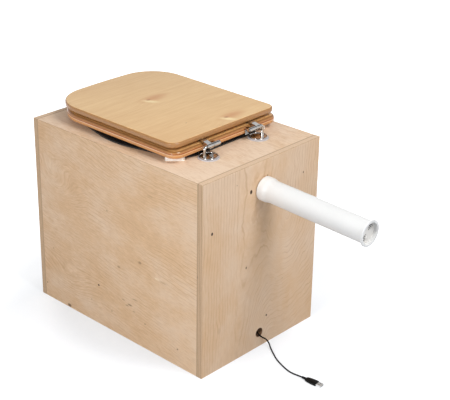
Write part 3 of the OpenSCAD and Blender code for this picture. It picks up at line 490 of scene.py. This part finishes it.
def seat_wood(woods, under):
    """Lacquered layers of the seat, with a thin red-brown glue line, and painted shade from the lid on its face and its
    upper edge.
    """
    finish = Finish("seat lacquered wood")
    x, y, z = finish.axes("Object")
    facing = finish.axes("Normal")
    bent, _, _ = flow(finish, x, y, z * 0.4 + 41, Figure())
    streak = finish.noise(bent * 400, x * 20, 43.0, detail=3, roughness=0.6)
    growth = finish.noise(bent * 100, x * 3.5, 44.0)
    strength = 0.36 + 1.0 * (streak - 0.5) + 0.8 * (growth - 0.5)
    # painted shade: the seat's face is a darker copy of the lid's wood, for the shade under the lid
    face = finish.mix(srgb(214, 170, 112), srgb(188, 138, 80), strength.clamped())
    up = (z - under) * 1000 + 0.5 * (finish.noise(x * 9, y * 9, z * 9) - 0.5)       # millimetres above the underside
    ends = finish.noise(x * 190, y * 190, z * 900)
    # partly painted shade: the upper rounding of the seat's edge is a darker wood, for the lid's shade on it
    upper = finish.mix(srgb(196, 140, 82), srgb(158, 102, 50), (0.45 + 1.5 * (ends - 0.5)).clamped())
    lower = finish.mix(woods.core, srgb(188, 130, 80), (0.45 + 1.6 * (ends - 0.5)).clamped())
    edge = finish.over(
        lower,
        # painted shade: the upper rounding darkens further towards the top, under the lid's edge
        (finish.mix(upper, srgb(122, 76, 32), 0.75 * up.ramp(11.0, 15.5)), up.ramp(9.4, 10.4)),
        (srgb(238, 198, 152), abs(up - 7.9).ramp(1.3, 0.5) * 0.7),
        (woods.glue, abs(up - 9.6).ramp(1.6, 0.7)),
        (srgb(196, 118, 54), abs(up - 4.6).ramp(0.8, 0.3) * 0.7),
        (srgb(190, 112, 50), up.ramp(2.8, 1.2) * 0.65))
    colour = finish.mix(face, edge, abs(facing[2]).ramp(0.985, 0.90))
    finish.set(Base_Color=colour, Roughness=0.40 + 0.12 * ends, Coat_Weight=0.75, Coat_Roughness=0.09, **LACQUER)
    return finish.bump(streak + 0.5 * ends, 0.07, 0.0003)


# ---- mesh shapes


def added(name, data):
    """A new object in the scene."""
    made = bpy.data.objects.new(name, data)
    bpy.context.scene.collection.objects.link(made)
    return made


def wear(node, finish):
    """Gives a CAD node a finish in every material slot."""
    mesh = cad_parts[node].data
    if not mesh.materials:
        mesh.materials.append(finish.material)
    for index in range(len(mesh.materials)):
        mesh.materials[index] = finish.material


def rounded(corners, radii, inset, steps=18):
    """An outline with every corner rounded by its own radius, drawn in by inset."""
    outline = []
    count = len(corners)
    for i, (corner, radius) in enumerate(zip(corners, radii)):
        here = Vector(corner)
        back = (Vector(corners[i - 1]) - here).normalized()
        on = (Vector(corners[(i + 1) % count]) - here).normalized()
        half = back.angle(on) / 2
        middle = here + (back + on).normalized() * radius / sin(half)
        start = here + back * radius / tan(half) - middle
        end = here + on * radius / tan(half) - middle
        begin = atan2(start.y, start.x)
        sweep = (atan2(end.y, end.x) - begin + 3 * pi) % (2 * pi) - pi
        for k in range(steps + 1):
            angle, reach = begin + sweep * k / steps, radius - inset
            outline.append((middle.x + reach * cos(angle), middle.y + reach * sin(angle)))
    return outline


def egg(width, length, power, x=0.0, y=0.0, count=96, grow=0.0):
    """An oval outline, from an ellipse at power 2 to nearly a rectangle at 6, drawn out by grow on every side."""
    outline = []
    width, length = width + 2 * grow, length + 2 * grow
    for i in range(count):
        c, s = cos(2 * pi * i / count), sin(2 * pi * i / count)
        outline.append((
            x + width / 2 * copysign(abs(c) ** (2 / power), c),
            y + length / 2 * copysign(abs(s) ** (2 / power), s)))
    return outline


def mixed(first, second, share):
    return first + (second - first) * share


class Shape:
    """A mesh that is made ring by ring."""

    def __init__(self):
        self.bm = bmesh.new()

    def ring(self, outline, height):
        return [self.bm.verts.new((x, y, height)) for x, y in outline]

    def skin(self, rings):
        """Joins rings of equal counts with strips of quads."""
        for lower, upper in zip(rings, rings[1:]):
            for i in range(len(lower)):
                j = (i + 1) % len(lower)
                self.bm.faces.new((lower[i], lower[j], upper[j], upper[i]))
        return rings

    def fill(self, *rings):
        """Fills the flat between one ring and any rings inside it."""
        edges = []
        for ring in rings:
            for pair in zip(ring, ring[1:] + ring[:1]):
                edges.append(self.bm.edges.get(pair) or self.bm.edges.new(pair))
        bmesh.ops.triangle_fill(self.bm, edges=edges, use_beauty=True)

    def close(self, rings):
        """Joins rings of equal counts, and fills the first and the last."""
        self.skin(rings)
        self.fill(rings[0])
        self.fill(rings[-1])

    def done(self, name, finish, body, replaced, move=None):
        """Makes the piece, hangs it on the body it rides on, and hides the CAD nodes it stands for."""
        bmesh.ops.recalc_face_normals(self.bm, faces=self.bm.faces[:])
        for face in self.bm.faces:
            face.smooth = True
        if move is not None:
            self.bm.transform(move)
        mesh = bpy.data.meshes.new(name)
        self.bm.to_mesh(mesh)
        self.bm.free()
        mesh.materials.append(finish.material)
        piece = added(name, mesh)
        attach(piece, body)
        if replaced:
            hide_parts(*replaced)
        return piece


def quarter(radius, steps=7):
    """How far in and how high each ring of a rounded edge lies, from its side to its flat."""
    angles = [pi / 2 * k / steps for k in range(steps + 1)]
    return [(radius * (1 - cos(a)), radius * sin(a)) for a in angles]


FRONT_BOW = 1400 * MM      # radius in the middle of the front edge
BORDER = 1.2 * MM          # from a rounded edge to the first ring on the flat


def board_outline(low, high, boards, inset):
    """The outline that the seat and the lid share, between the corners of their CAD box."""
    middle, swell = (low[0] + high[0]) / 2, boards.front_swell
    slope = atan(swell / ((high[0] - low[0]) / 2))
    front = low[1] - FRONT_BOW * (1 / cos(slope) - 1)
    corners = [
        (high[0], high[1]), (low[0], high[1]), (low[0], front + swell), (middle, front), (high[0], front + swell)]
    radii = [boards.rear_radius, boards.rear_radius, boards.front_radius, FRONT_BOW, boards.front_radius]
    return rounded(corners, radii, inset)


def board_rings(shape, low, high, boards, under, over):
    """Rings up the rounded edge of the seat or the lid, with one more on each flat."""
    lower = [(inset, low[2] + under - rise) for inset, rise in reversed(quarter(under))]
    upper = [(inset, high[2] - over + rise) for inset, rise in quarter(over)]
    sides = [(under + BORDER, low[2])] + lower + upper + [(over + BORDER, high[2])]
    return [shape.ring(board_outline(low, high, boards, inset), height) for inset, height in sides]


class TOILET_OT_lid(bpy.types.Operator):
    """Makes the lid with smoothly rounded edges"""

    bl_idname = "toilet.lid"
    bl_label = "Lid"

    def execute(self, context):
        boards = context.scene.toilet_boards
        low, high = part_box("seat_lid")
        shape = Shape()
        shape.close(board_rings(shape, low, high, boards, boards.lid_edge, boards.lid_edge))
        shape.done("lid", lid_wood(context.scene.toilet_woods, high[2]), "lid", ["seat_lid"])
        return {"FINISHED"}


class TOILET_OT_seat(bpy.types.Operator):
    """Makes the seat with its flared hole"""

    bl_idname = "toilet.seat"
    bl_label = "Seat"

    def execute(self, context):
        boards = context.scene.toilet_boards
        low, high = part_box("seat_ring")
        middle = (low[0] + high[0]) / 2
        hole_y = high[1] - boards.hole_inset - boards.hole_length / 2

        def hole(out, height):
            return shape.ring(egg(boards.hole_width, boards.hole_length, 2.3, middle, hole_y, 128, out), height)

        shape = Shape()
        outer = shape.skin(board_rings(shape, low, high, boards, boards.seat_under, boards.seat_edge))
        nick, flare = 1.0 * MM, boards.seat_edge
        sides = [(nick + BORDER, low[2]), (nick, low[2]), (nick * 0.3, low[2] + nick * 0.3), (0, low[2] + nick)]
        sides += [(out, high[2] - flare + rise) for out, rise in quarter(flare)] + [(flare + BORDER, high[2])]
        inner = shape.skin([hole(out, height) for out, height in sides])
        shape.fill(outer[0], inner[0])
        shape.fill(outer[-1], inner[-1])
        shape.done("seat", seat_wood(context.scene.toilet_woods, low[2]), "seat", ["seat_ring"])
        return {"FINISHED"}


# ---- hinges and bumpers


def chrome():
    """Polished chrome with faint wiping marks."""
    finish = Finish("polished chrome")
    x, y, z = finish.axes("Object")
    smudge = finish.noise(x, y, z, scale=90, detail=3, roughness=0.6)
    wipe = finish.noise(x * 900, y * 900, z * 60, detail=1)
    tone = finish.mix(srgb(180, 178, 176), srgb(212, 210, 208), smudge.ramp(0.3, 0.7))
    finish.set(Base_Color=tone, Metallic=1.0, Roughness=0.055 + 0.09 * smudge.ramp(0.45, 0.75) + 0.03 * wipe)
    return finish.bump(wipe, 0.03, 0.0002)


def steel(name, brightness):
    """Plain zinc-plated or stamped steel, brushed along Y."""
    finish = Finish(name)
    x, y, z = finish.axes("Object")
    streak = finish.noise(x * 1400, y * 60, z * 1400)
    cloud = finish.noise(x, y, z, scale=110, detail=3)
    tone = finish.mix((brightness * 0.86,) * 3, (brightness, brightness, brightness * 0.985), streak)
    finish.set(Base_Color=finish.scaled(tone, 0.85 + 0.3 * cloud), Metallic=1.0, Roughness=0.24 + 0.18 * cloud)
    return finish.bump(streak, 0.06, 0.0002)


def moulded(name, colour, grain, gloss, deep=0.0002, dust=0.0):
    """Moulded plastic or rubber: fine grain, slow clouds in its gloss and a little dust in patches."""
    finish = Finish(name)
    place = finish.axes("Object")
    skin = finish.noise(*place, scale=grain, detail=3, roughness=0.6)
    cloud = finish.noise(*place, scale=24, detail=3)
    tone = finish.scaled(colour, 0.955 + 0.06 * cloud + 0.04 * skin)
    if dust:
        tone = finish.mix(tone, srgb(150, 146, 140), dust * cloud.ramp(0.52, 0.74) * skin.ramp(0.4, 0.6))
    finish.set(Base_Color=tone, Roughness=gloss + 0.16 * (cloud - 0.5) + 0.10 * (skin - 0.5))
    return finish.bump(skin, 0.18, deep)


class TOILET_OT_hinges(bpy.types.Operator):
    """Plates the hinges with chrome, and adds the crosses in the heads of their screws"""

    bl_idname = "toilet.hinges"
    bl_label = "Hinges"

    def execute(self, context):
        plastics = context.scene.toilet_plastics
        plated = chrome()
        for side in ("l", "r"):
            for part in ("hinge_disc_", "hinge_post_", "seat_strap_", "lid_strap_"):
                wear(part + side, plated)
            wear("hinge_ring_" + side, moulded("hinge ring plastic " + side, plastics.washer, grain=500, gloss=0.34))
        for node in ("seat_screws", "lid_screws", "hinge_washers", "hinge_wing_nuts"):
            wear(node, steel(node.replace("_", " ") + " zinc", brightness=0.66))
        for body in ("seat", "lid"):
            self.crosses(body)
        return {"FINISHED"}

    def crosses(self, body):
        """A dark cross sunk in each screw head, seen when the board is raised; its dark grey is painted shade for the
        inside of the recess.
        """
        strap = [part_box(body + "_strap_" + side) for side in ("l", "r")]
        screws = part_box(body + "_screws")
        shape = Shape()
        arm, half, skin, sunk, head = (size * MM for size in (1.7, 0.36, 0.06, 1.1, 3.8))
        rows = (screws[0][1] + head, screws[1][1] - head)
        for low, high in strap:
            for row in rows:
                middle = Vector(((low[0] + high[0]) / 2, row, screws[0][2]))
                for first, second in ((arm, half), (half, arm)):
                    outline = [(-first, -second), (first, -second), (first, second), (-first, second)]
                    base, tip = [
                        [shape.bm.verts.new(middle + Vector((u * grow, v * grow, h))) for u, v in outline]
                        for grow, h in ((1.0, -skin), (0.55, sunk))]
                    shape.close([base, tip])
        # painted shade: the recess is dark grey for the shade inside it
        dark = moulded(body + " screw recess", srgb(38, 37, 36), grain=900, gloss=0.5)
        shape.done(body + "_screw_crosses", dark, body, [])


class TOILET_OT_bumpers(bpy.types.Operator):
    """Gives the bumpers their white rubber"""

    bl_idname = "toilet.bumpers"
    bl_label = "Bumpers"

    def execute(self, context):
        white = context.scene.toilet_plastics.bumper
        for node in ("seat_bumpers", "lid_bumpers"):
            wear(node, moulded(node.replace("_", " ") + " rubber", white, grain=900, gloss=0.5))
        return {"FINISHED"}


# ---- separator, bucket and canister

FLANGE_CORNERS_MM = [(124, 151.5), (-124, 151.5), (-167, -32), (-118, -215.5), (118, -215.5), (167, -32)]
FLANGE_RADII_MM = [56, 56, 220, 110, 110, 220]
SEPARATOR_WALL = 3 * MM
BOWL = {"width": 184 * MM, "length": 136 * MM, "y": -96.5 * MM, "floor": 375 * MM, "spout_y": -116.5 * MM}
CHUTE = {"width": 180 * MM, "length": 124 * MM, "y": 49.5 * MM, "floor": 345 * MM}
SPOUT = {"radius": 9 * MM, "floor": 300 * MM}


class TOILET_OT_separator(bpy.types.Operator):
    """Makes the separator as one moulded skin with rolled rims"""

    bl_idname = "toilet.separator"
    bl_label = "Separator"

    def execute(self, context):
        low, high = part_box("separator")
        top, middle = high[2], (low[0] + high[0]) / 2
        corners = [(middle + x * MM, y * MM) for x, y in FLANGE_CORNERS_MM]
        radii = [r * MM for r in FLANGE_RADII_MM]
        roll, fall = 1.2 * MM, 1.6 * MM
        sides = [(0, top - SEPARATOR_WALL), (0, top - roll)]
        sides += [(inset, top - roll + rise) for inset, rise in quarter(roll, 4)[1:]] + [(roll + MM, top)]
        shape = Shape()
        flange = shape.skin([shape.ring(rounded(corners, radii, inset, 24), height) for inset, height in sides])
        lip = [(fall * (1 - sin(a)), -fall * (1 - cos(a))) for a in (0, 0.4, 0.8, 1.2, pi / 2)]
        lip.insert(0, (2.4 * MM, 0.0))

        def bowl(grow, height, share):
            width, length = (mixed(2 * SPOUT["radius"], BOWL[side], share) for side in ("width", "length"))
            y = mixed(BOWL["spout_y"], BOWL["y"], share)
            return shape.ring(egg(width, length, mixed(2, 2.8, share), middle, y, grow=grow), height)

        rings = [bowl(grow, top + drop, 1.0) for grow, drop in lip]
        for k in range(1, 25):
            t = k / 24
            rings.append(bowl(0, mixed(top - fall, BOWL["floor"], t), cos(radians(88 * t)) ** 0.75))
        rings += [bowl(0, mixed(BOWL["floor"], SPOUT["floor"], t), 0.0) for t in (0.06, 0.5, 1.0)]
        shape.skin(rings)

        def chute(grow, height, share):
            sides = (CHUTE["width"] * share, CHUTE["length"] * share)
            return shape.ring(egg(*sides, 2.8, middle, CHUTE["y"], grow=grow), height)

        well = [chute(grow, top + drop, 1.0) for grow, drop in lip]
        for t in (0.03, 0.08, 0.2, 0.4, 0.6, 0.8, 1.0):
            well.append(chute(0, mixed(top, CHUTE["floor"], t), mixed(1.0, 0.9, t ** 0.8)))
        shape.skin(well)
        shape.fill(flange[-1], rings[0], well[0])
        black = context.scene.toilet_plastics.black
        finish = moulded("separator plastic", black, grain=260, gloss=0.40, deep=0.0003, dust=0.10)
        piece = shape.done("separator_skin", finish, "box", ["separator"])
        wall = piece.modifiers.new("wall", "SOLIDIFY")
        wall.thickness = SEPARATOR_WALL
        wall.offset = -1
        return {"FINISHED"}


NECK = 34                  # height of the canister's neck, in millimetres
CANISTER_WALL = 2.5
# How far each ring of the canister is drawn in, in millimetres, and its share of the height
CANISTER_RINGS = [
    (14, 0), (7, 0.003), (3, 0.012), (0.6, 0.024), (0, 0.035), (0, 0.42), (1, 0.435), (4, 0.45), (4, 0.51), (1, 0.525),
    (0, 0.54), (0, 0.88), (1.5, 0.92), (5, 0.95), (10, 0.970), (17, 0.985), (23, 0.995), (30, 1)]


class TOILET_OT_vessels(bpy.types.Operator):
    """Makes the canister with its neck and screw thread, and gives the bucket its plastic"""

    bl_idname = "toilet.vessels"
    bl_label = "Bucket and canister"

    def execute(self, context):
        plastics = context.scene.toilet_plastics
        low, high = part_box("urine_canister")
        body_top = high[2] - NECK * MM
        x, y = (low[0] + high[0]) / 2, (low[1] + high[1]) / 2
        width, length = high[0] - low[0], high[1] - low[1]
        shape = Shape()

        def body(inset, share, grow):
            height = mixed(low[2] - grow, body_top + grow, share)
            return shape.ring(egg(width, length, 6, x, y, grow=grow - inset * MM), height)

        def neck(radius, height):
            return shape.ring(egg(2 * radius, 2 * radius, 2, x, BOWL["spout_y"]), height)

        profile = [(26, 0.2), (24.5, 2)]        # radius and height of each ring of the neck, in millimetres
        for turn in range(4):
            foot = 9 + 4.2 * turn
            profile += [(24.5, foot), (25.8, foot + 0.9), (24.5, foot + 1.8)]
        profile += [(24.5, 33.2), (23.7, NECK), (22.6, NECK), (22, 33.4), (22, -CANISTER_WALL)]
        shape.close(
            [body(inset, share, 0) for inset, share in CANISTER_RINGS]
            + [neck(radius * MM, body_top + rise * MM) for radius, rise in profile]
            + [body(inset, share, -CANISTER_WALL * MM) for inset, share in reversed(CANISTER_RINGS)])
        finish = moulded("canister plastic", plastics.natural, grain=300, gloss=0.40, deep=0.0003)
        finish.set(Transmission_Weight=0.12, Subsurface_Weight=0.12, Subsurface_Radius=(0.01, 0.01, 0.01))
        shape.done("canister", finish, "box", ["urine_canister"])
        wear("solids_bucket", moulded("bucket plastic", plastics.black, grain=320, gloss=0.46, deep=0.0003, dust=0.16))
        return {"FINISHED"}


# ---- vent and fan


class TOILET_OT_vent(bpy.types.Operator):
    """Gives the vent pipe, its grille and its adapter their white plastic"""

    bl_idname = "toilet.vent"
    bl_label = "Vent"

    def execute(self, context):
        white = context.scene.toilet_plastics.pipe
        # painted shade: the grille is a darker, warmer copy of the pipe's white, for the shade in the pipe's mouth
        for node, grain, colour in (
                ("vent_pipe", 240, white), ("vent_grille", 420, srgb(228, 225, 220)), ("vent_adapter", 300, white)):
            wear(node, moulded(node.replace("_", " ") + " plastic", colour, grain, gloss=0.36, deep=0.00015))
        return {"FINISHED"}


class TOILET_OT_fan(bpy.types.Operator):
    """Gives the fan its plastic and screws, and lays its lead down the rear panel"""

    bl_idname = "toilet.fan"
    bl_label = "Fan"

    def execute(self, context):
        plastics = context.scene.toilet_plastics
        wear("fan_housing", moulded("fan housing plastic", plastics.black, grain=600, gloss=0.44, dust=0.05))
        wear("fan_rotor", moulded("fan rotor plastic", plastics.black, grain=500, gloss=0.36, dust=0.05))
        wear("fan_screws", steel("fan screws zinc", brightness=0.62))
        lead = tube("fan_lead", LEAD_ROUTE_MM, cable_finish("fan lead sheath", plastics.sheath))
        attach(lead, "box")
        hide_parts("fan_cable")
        return {"FINISHED"}


# ---- cord and plug

CORD_DIAMETER = 3.2 * MM
CORD_ROUTE_MM = [
    (-3, 250, 36.5), (-3, 256.5, 31.5), (-3, 265, 27.3), (-7.5, 269, 22), (-13.5, 273, 17), (-16.5, 276.5, 12),
    (-16, 282, 7.3), (-10, 291.5, 3.5), (2.5, 311, 1.8), (14.5, 331, 1.7), (24, 354, 1.7), (30.5, 376, 1.7),
    (32, 391, 2.2), (31.5, 405, 3.3), (31.2, 414.5, 4)]
LEAD_ROUTE_MM = [
    (12, 244, 354.7), (12, 247.4, 346), (12, 248.3, 334), (9.5, 248.3, 300.4), (6.6, 248.3, 239.8), (3.8, 248.3, 179.1),
    (0.9, 248.3, 118.5), (-1.4, 248.3, 70.6), (-3, 247.2, 50), (-3, 246.8, 39), (-3, 249.9, 36.6)]
PLUG_TURN = radians(4.5)
PLUG_GAP = 0.15 * MM
RELIEF = 10.5              # length of the plug's strain relief, in millimetres
PLUG_BODY = (16, 8, 28.5)
# Each ring of the plug's body: its share of the full width, and how far along it lies, in millimetres
PLUG_SIDES = [
    (0.50, 0), (0.60, 0.2), (0.68, 0.8), (0.75, 2), (0.82, 4), (0.88, 7), (0.93, 11), (0.97, 15), (0.99, 19), (1, 23),
    (1, 26.6), (0.985, 27.6), (0.955, 28.2), (0.91, 28.5)]


def cable_finish(name, colour):
    """Soft cable sheath with a faint matt mottle."""
    finish = Finish(name)
    mottle = finish.noise(*finish.axes("Object"), scale=900)
    tone = finish.scaled(colour, 0.8 + 0.45 * mottle)
    finish.set(Base_Color=tone, Roughness=0.46 + 0.2 * mottle, Specular_IOR_Level=0.08)
    return finish.bump(mottle, 0.15, 0.0002)


def tube(name, route_mm, finish):
    """A round cable along a smooth curve through its route."""
    route = [Vector(point) * MM for point in route_mm]
    curve = bpy.data.curves.new(name, "CURVE")
    curve.dimensions = "3D"
    curve.resolution_u = 10
    curve.bevel_depth = CORD_DIAMETER / 2
    curve.bevel_resolution = 5
    curve.use_fill_caps = True
    spline = curve.splines.new("BEZIER")
    spline.bezier_points.add(len(route) - 1)
    for index, point in enumerate(spline.bezier_points):
        pull = (route[min(index + 1, len(route) - 1)] - route[max(index - 1, 0)]) / 6
        point.co = route[index]
        point.handle_left, point.handle_right = route[index] - pull, route[index] + pull
    curve.materials.append(finish.material)
    return added(name, curve)


class TOILET_OT_cord(bpy.types.Operator):
    """Lays the cord from the cable hole over the floor to its plug"""

    bl_idname = "toilet.cord"
    bl_label = "Cord"

    def execute(self, context):
        finish = cable_finish("cord sheath", context.scene.toilet_plastics.sheath)
        cord = tube("cord", CORD_ROUTE_MM, finish)
        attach(cord, "box")
        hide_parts("usb_cord")
        plug = self.plug(context)
        Vector(CORD_ROUTE_MM[0]) * MM
        self.contacts()
        wear("usb_plug_shell", steel("plug shell nickel", brightness=0.74))
        return {"FINISHED"}

    def placed(self):
        """Turns a shape drawn along +Z onto the end of the cord."""
        end = Matrix.Translation(Vector(CORD_ROUTE_MM[-1]) * MM) @ Matrix.Rotation(PLUG_TURN, 4, "Z")
        return end @ Matrix.Translation((0, PLUG_GAP, 0)) @ Matrix.Rotation(-pi / 2, 4, "X")

    def plug(self, context):
        """The moulded body and its ribbed strain relief."""
        shape = Shape()

        def ring(width, thick, power, height):
            return shape.ring(egg(width * MM, thick * MM, power, count=48), height * MM)

        def round_ring(grow, height):
            across = CORD_DIAMETER / MM + 2 * grow
            return ring(across, across, 2, height)

        rings = [round_ring(0.1, 0), round_ring(0.5, 0.2)]
        for k in range(4):
            foot, rib, neck = 1.2 + 2.4 * k, 1.0 + 0.12 * k, 0.45 + 0.12 * k
            steps = ((neck, foot - 0.25), (rib, foot), (rib, foot + 1.0), (neck, foot + 1.3))
            rings += [round_ring(grow, height) for grow, height in steps]
        rings.append(round_ring(0.95, RELIEF - 0.4))
        width, thick, length = PLUG_BODY
        rings += [ring(width * share, thick * share, 3.6, RELIEF + height) for share, height in PLUG_SIDES]
        rings.append(ring(width * 0.86, thick * 0.82, 3.6, RELIEF + length))
        shape.close(rings)
        finish = moulded("plug plastic", context.scene.toilet_plastics.sheath, grain=1200, gloss=0.5)
        finish.set(Specular_IOR_Level=0.18)
        return shape.done("plug_body", finish, "box", ["usb_plug_body"], self.placed())

    def contacts(self):
        """Four gilt contacts on the tongue inside the shell."""
        shape = Shape()
        mouth, half, low, high = RELIEF + PLUG_BODY[2], 0.55, -0.2, 0.1
        for place in (-3.5, -1.2, 1.2, 3.5):
            corners = [(place - half, low), (place + half, low), (place + half, high), (place - half, high)]
            outline = [(x * MM, y * MM) for x, y in corners]
            shape.close([shape.ring(outline, (mouth + along) * MM) for along in (1.2, 1.5, 10.2, 10.6)])
        gilt = Finish("contact gilt")
        x, y, z = gilt.axes("Object")
        rub = gilt.noise(x * 2500, y * 300, z * 300)
        tone = gilt.mix(srgb(214, 172, 92), srgb(238, 205, 132), rub)
        gilt.set(Base_Color=tone, Metallic=1.0, Roughness=0.2 + 0.15 * rub)
        return shape.done("plug_contacts", gilt, "box", [], self.placed())


# ---- camera and stage

IMAGE_PX = (450, 400)
SENSOR_MM = 36.0
FOCAL_PX = 1169.2
CENTRE_PX = (182.15, 181.6)         # where the lens's axis meets the photograph
CAMERA_AT = (1.6951, 1.7094, 1.3942)
CAMERA_TOWARDS = (-0.6477, -0.6432, -0.4084)

# Name, place, what it faces, its two sides and its power
STUDIO = [
    ("overhead", (0.0, 1.55, 2.2), (0, 0.1, 0.3), (0.9, 0.8), 30),
    ("side softbox", (1.8, 0.45, 1.1), (0.18, 0.1, 0.3), (0.6, 0.6), 12.5),
    ("left strip", (2.75, 0.30, 1.15), (0.18, 0.1, 0.30), (0.25, 0.8), 7),
    ("rear strip", (0.35, 2.95, 1.15), (0.1, 0.2, 0.30), (0.25, 0.8), 6),
]


FILL = 0.44                # strength of the even light from all round
BACKDROP = (0.63, 0.70)    # where the white backdrop gives way to the ceiling in reflections
CEILING = 0.08


class TOILET_OT_camera(bpy.types.Operator):
    """Sets the camera at the photograph's angle"""

    bl_idname = "toilet.camera"
    bl_label = "Camera"

    def execute(self, context):
        data = bpy.data.cameras.new("camera")
        data.sensor_width = SENSOR_MM
        data.lens = FOCAL_PX / IMAGE_PX[0] * SENSOR_MM
        data.shift_x = (IMAGE_PX[0] / 2 - CENTRE_PX[0]) / IMAGE_PX[0]
        data.shift_y = (CENTRE_PX[1] - IMAGE_PX[1] / 2) / IMAGE_PX[0]
        data.clip_start, data.clip_end = 0.05, 100
        camera = added("camera", data)
        camera.location = CAMERA_AT
        camera.rotation_euler = Vector(CAMERA_TOWARDS).to_track_quat("-Z", "Y").to_euler()
        context.scene.camera = camera
        return {"FINISHED"}


def paper():
    """White paper that glows to the camera and in reflections, and keeps a soft shadow; its glow is painted light and
    shade, dimmer near the box and brighter in front of it and towards -X.
    """
    finish = Finish("white paper")
    x, y, z = finish.axes("Object")
    tooth = finish.noise(x, y, z, scale=60)
    base = finish.mix(srgb(176, 180, 186), srgb(181, 185, 191), tooth)
    seen = finish.node("ShaderNodeLightPath").larger(finish.node("ShaderNodeLightPath", output="Is Glossy Ray"))
    away = finish.distance((x, y, 0.0), (0.0, 0.0, 0.0))
    # painted shade and light: the glow is low within about 0.6 m of the box, so that it reads as shade round it, and
    # raised in front of the box and towards -X, where it lifts the shadow
    seen = seen * (
        0.455 + 0.13 * away.ramp(0.235, 0.33) + 0.415 * away.ramp(0.38, 0.62)
        + 0.12 * y.ramp(-0.26, -0.36) + 0.06 * x.ramp(-0.20, -0.32))
    return finish.set(
        Base_Color=base, Roughness=0.9, Specular_IOR_Level=0.1, Emission_Color=finish.vector(seen, seen, seen),
        Emission_Strength=1.0)


class TOILET_OT_stage(bpy.types.Operator):
    """Lays a pale floor and hangs soft studio lights"""

    bl_idname = "toilet.stage"
    bl_label = "Stage"

    def execute(self, context):
        half = 20.0
        mesh = bpy.data.meshes.new("floor")
        mesh.from_pydata([(-half, -half, 0), (half, -half, 0), (half, half, 0), (-half, half, 0)], [], [(0, 1, 2, 3)])
        mesh.materials.append(paper().material)
        floor = added("floor", mesh)
        self.surround(context.scene)
        for name, place, aim, size, power in STUDIO:
            lamp = bpy.data.lights.new(name, "AREA")
            lamp.shape = "RECTANGLE"
            lamp.size, lamp.size_y = size
            lamp.energy = power
            made = added(name, lamp)
            made.location = place
            made.rotation_euler = (Vector(aim) - Vector(place)).to_track_quat("-Z", "Y").to_euler()
        context.scene.view_settings.view_transform = "Standard"
        return {"FINISHED"}

    def surround(self, scene):
        """White to the camera, a soft light, and in reflections a white backdrop below a dim ceiling."""
        scene.world = bpy.data.worlds.new("studio")
        sky = Graph(scene.world)
        path = sky.node("ShaderNodeLightPath").socket.node.outputs
        glossy, camera, through = (Wire(sky, path["Is %s Ray" % kind]) for kind in ("Glossy", "Camera", "Transmission"))
        height = sky.axes("Generated")[2]
        ceiling = sky.node("ShaderNodeMapRange", None, {0: height, 1: BACKDROP[0], 2: BACKDROP[1], 3: 1.0, 4: CEILING})
        soft = sky.node("ShaderNodeBackground", None, {0: (0.98, 0.99, 1.0), 1: FILL})
        mirrored = sky.node("ShaderNodeBackground", None, {1: ceiling})
        white = sky.node("ShaderNodeBackground", None, {0: (1.0, 1.0, 1.0), 1: 1.0})
        unseen = sky.node("ShaderNodeMixShader", None, {0: glossy, 1: soft, 2: mirrored})
        blend = sky.node("ShaderNodeMixShader", None, {0: camera.larger(through), 1: unseen, 2: white})
        sky.node("ShaderNodeOutputWorld", None, {"Surface": blend})


# ---- panel and run

STEPS = (
    TOILET_OT_camera, TOILET_OT_cord, TOILET_OT_box, TOILET_OT_seat, TOILET_OT_lid, TOILET_OT_hinges, TOILET_OT_bumpers,
    TOILET_OT_separator, TOILET_OT_vessels, TOILET_OT_vent, TOILET_OT_fan, TOILET_OT_stage)
GROUPS = {"toilet_boards": ToiletBoards, "toilet_woods": ToiletWoods, "toilet_plastics": ToiletPlastics}


class TOILET_PT_parts(bpy.types.Panel):
    """Lists the pieces and their sizes and colours"""

    bl_label = "Composting toilet"
    bl_idname = "TOILET_PT_parts"
    bl_space_type = "VIEW_3D"
    bl_region_type = "UI"
    bl_category = "Toilet"

    def draw(self, context):
        for step in STEPS:
            self.layout.operator(step.bl_idname)
        for name, group in GROUPS.items():
            box = self.layout.box()
            for key in group.__annotations__:
                box.prop(getattr(context.scene, name), key)


def register():
    for name, group in GROUPS.items():
        bpy.utils.register_class(group)
        setattr(bpy.types.Scene, name, bpy.props.PointerProperty(type=group))
    for made in (*STEPS, TOILET_PT_parts):
        bpy.utils.register_class(made)


def unregister():
    for made in (TOILET_PT_parts, *reversed(STEPS)):
        bpy.utils.unregister_class(made)
    for name, group in GROUPS.items():
        delattr(bpy.types.Scene, name)
        bpy.utils.unregister_class(group)


def main():
    register()
    for step in STEPS:
        area, _, name = step.bl_idname.partition(".")
        getattr(getattr(bpy.ops, area), name)()


if __name__ == "__main__":
    main()
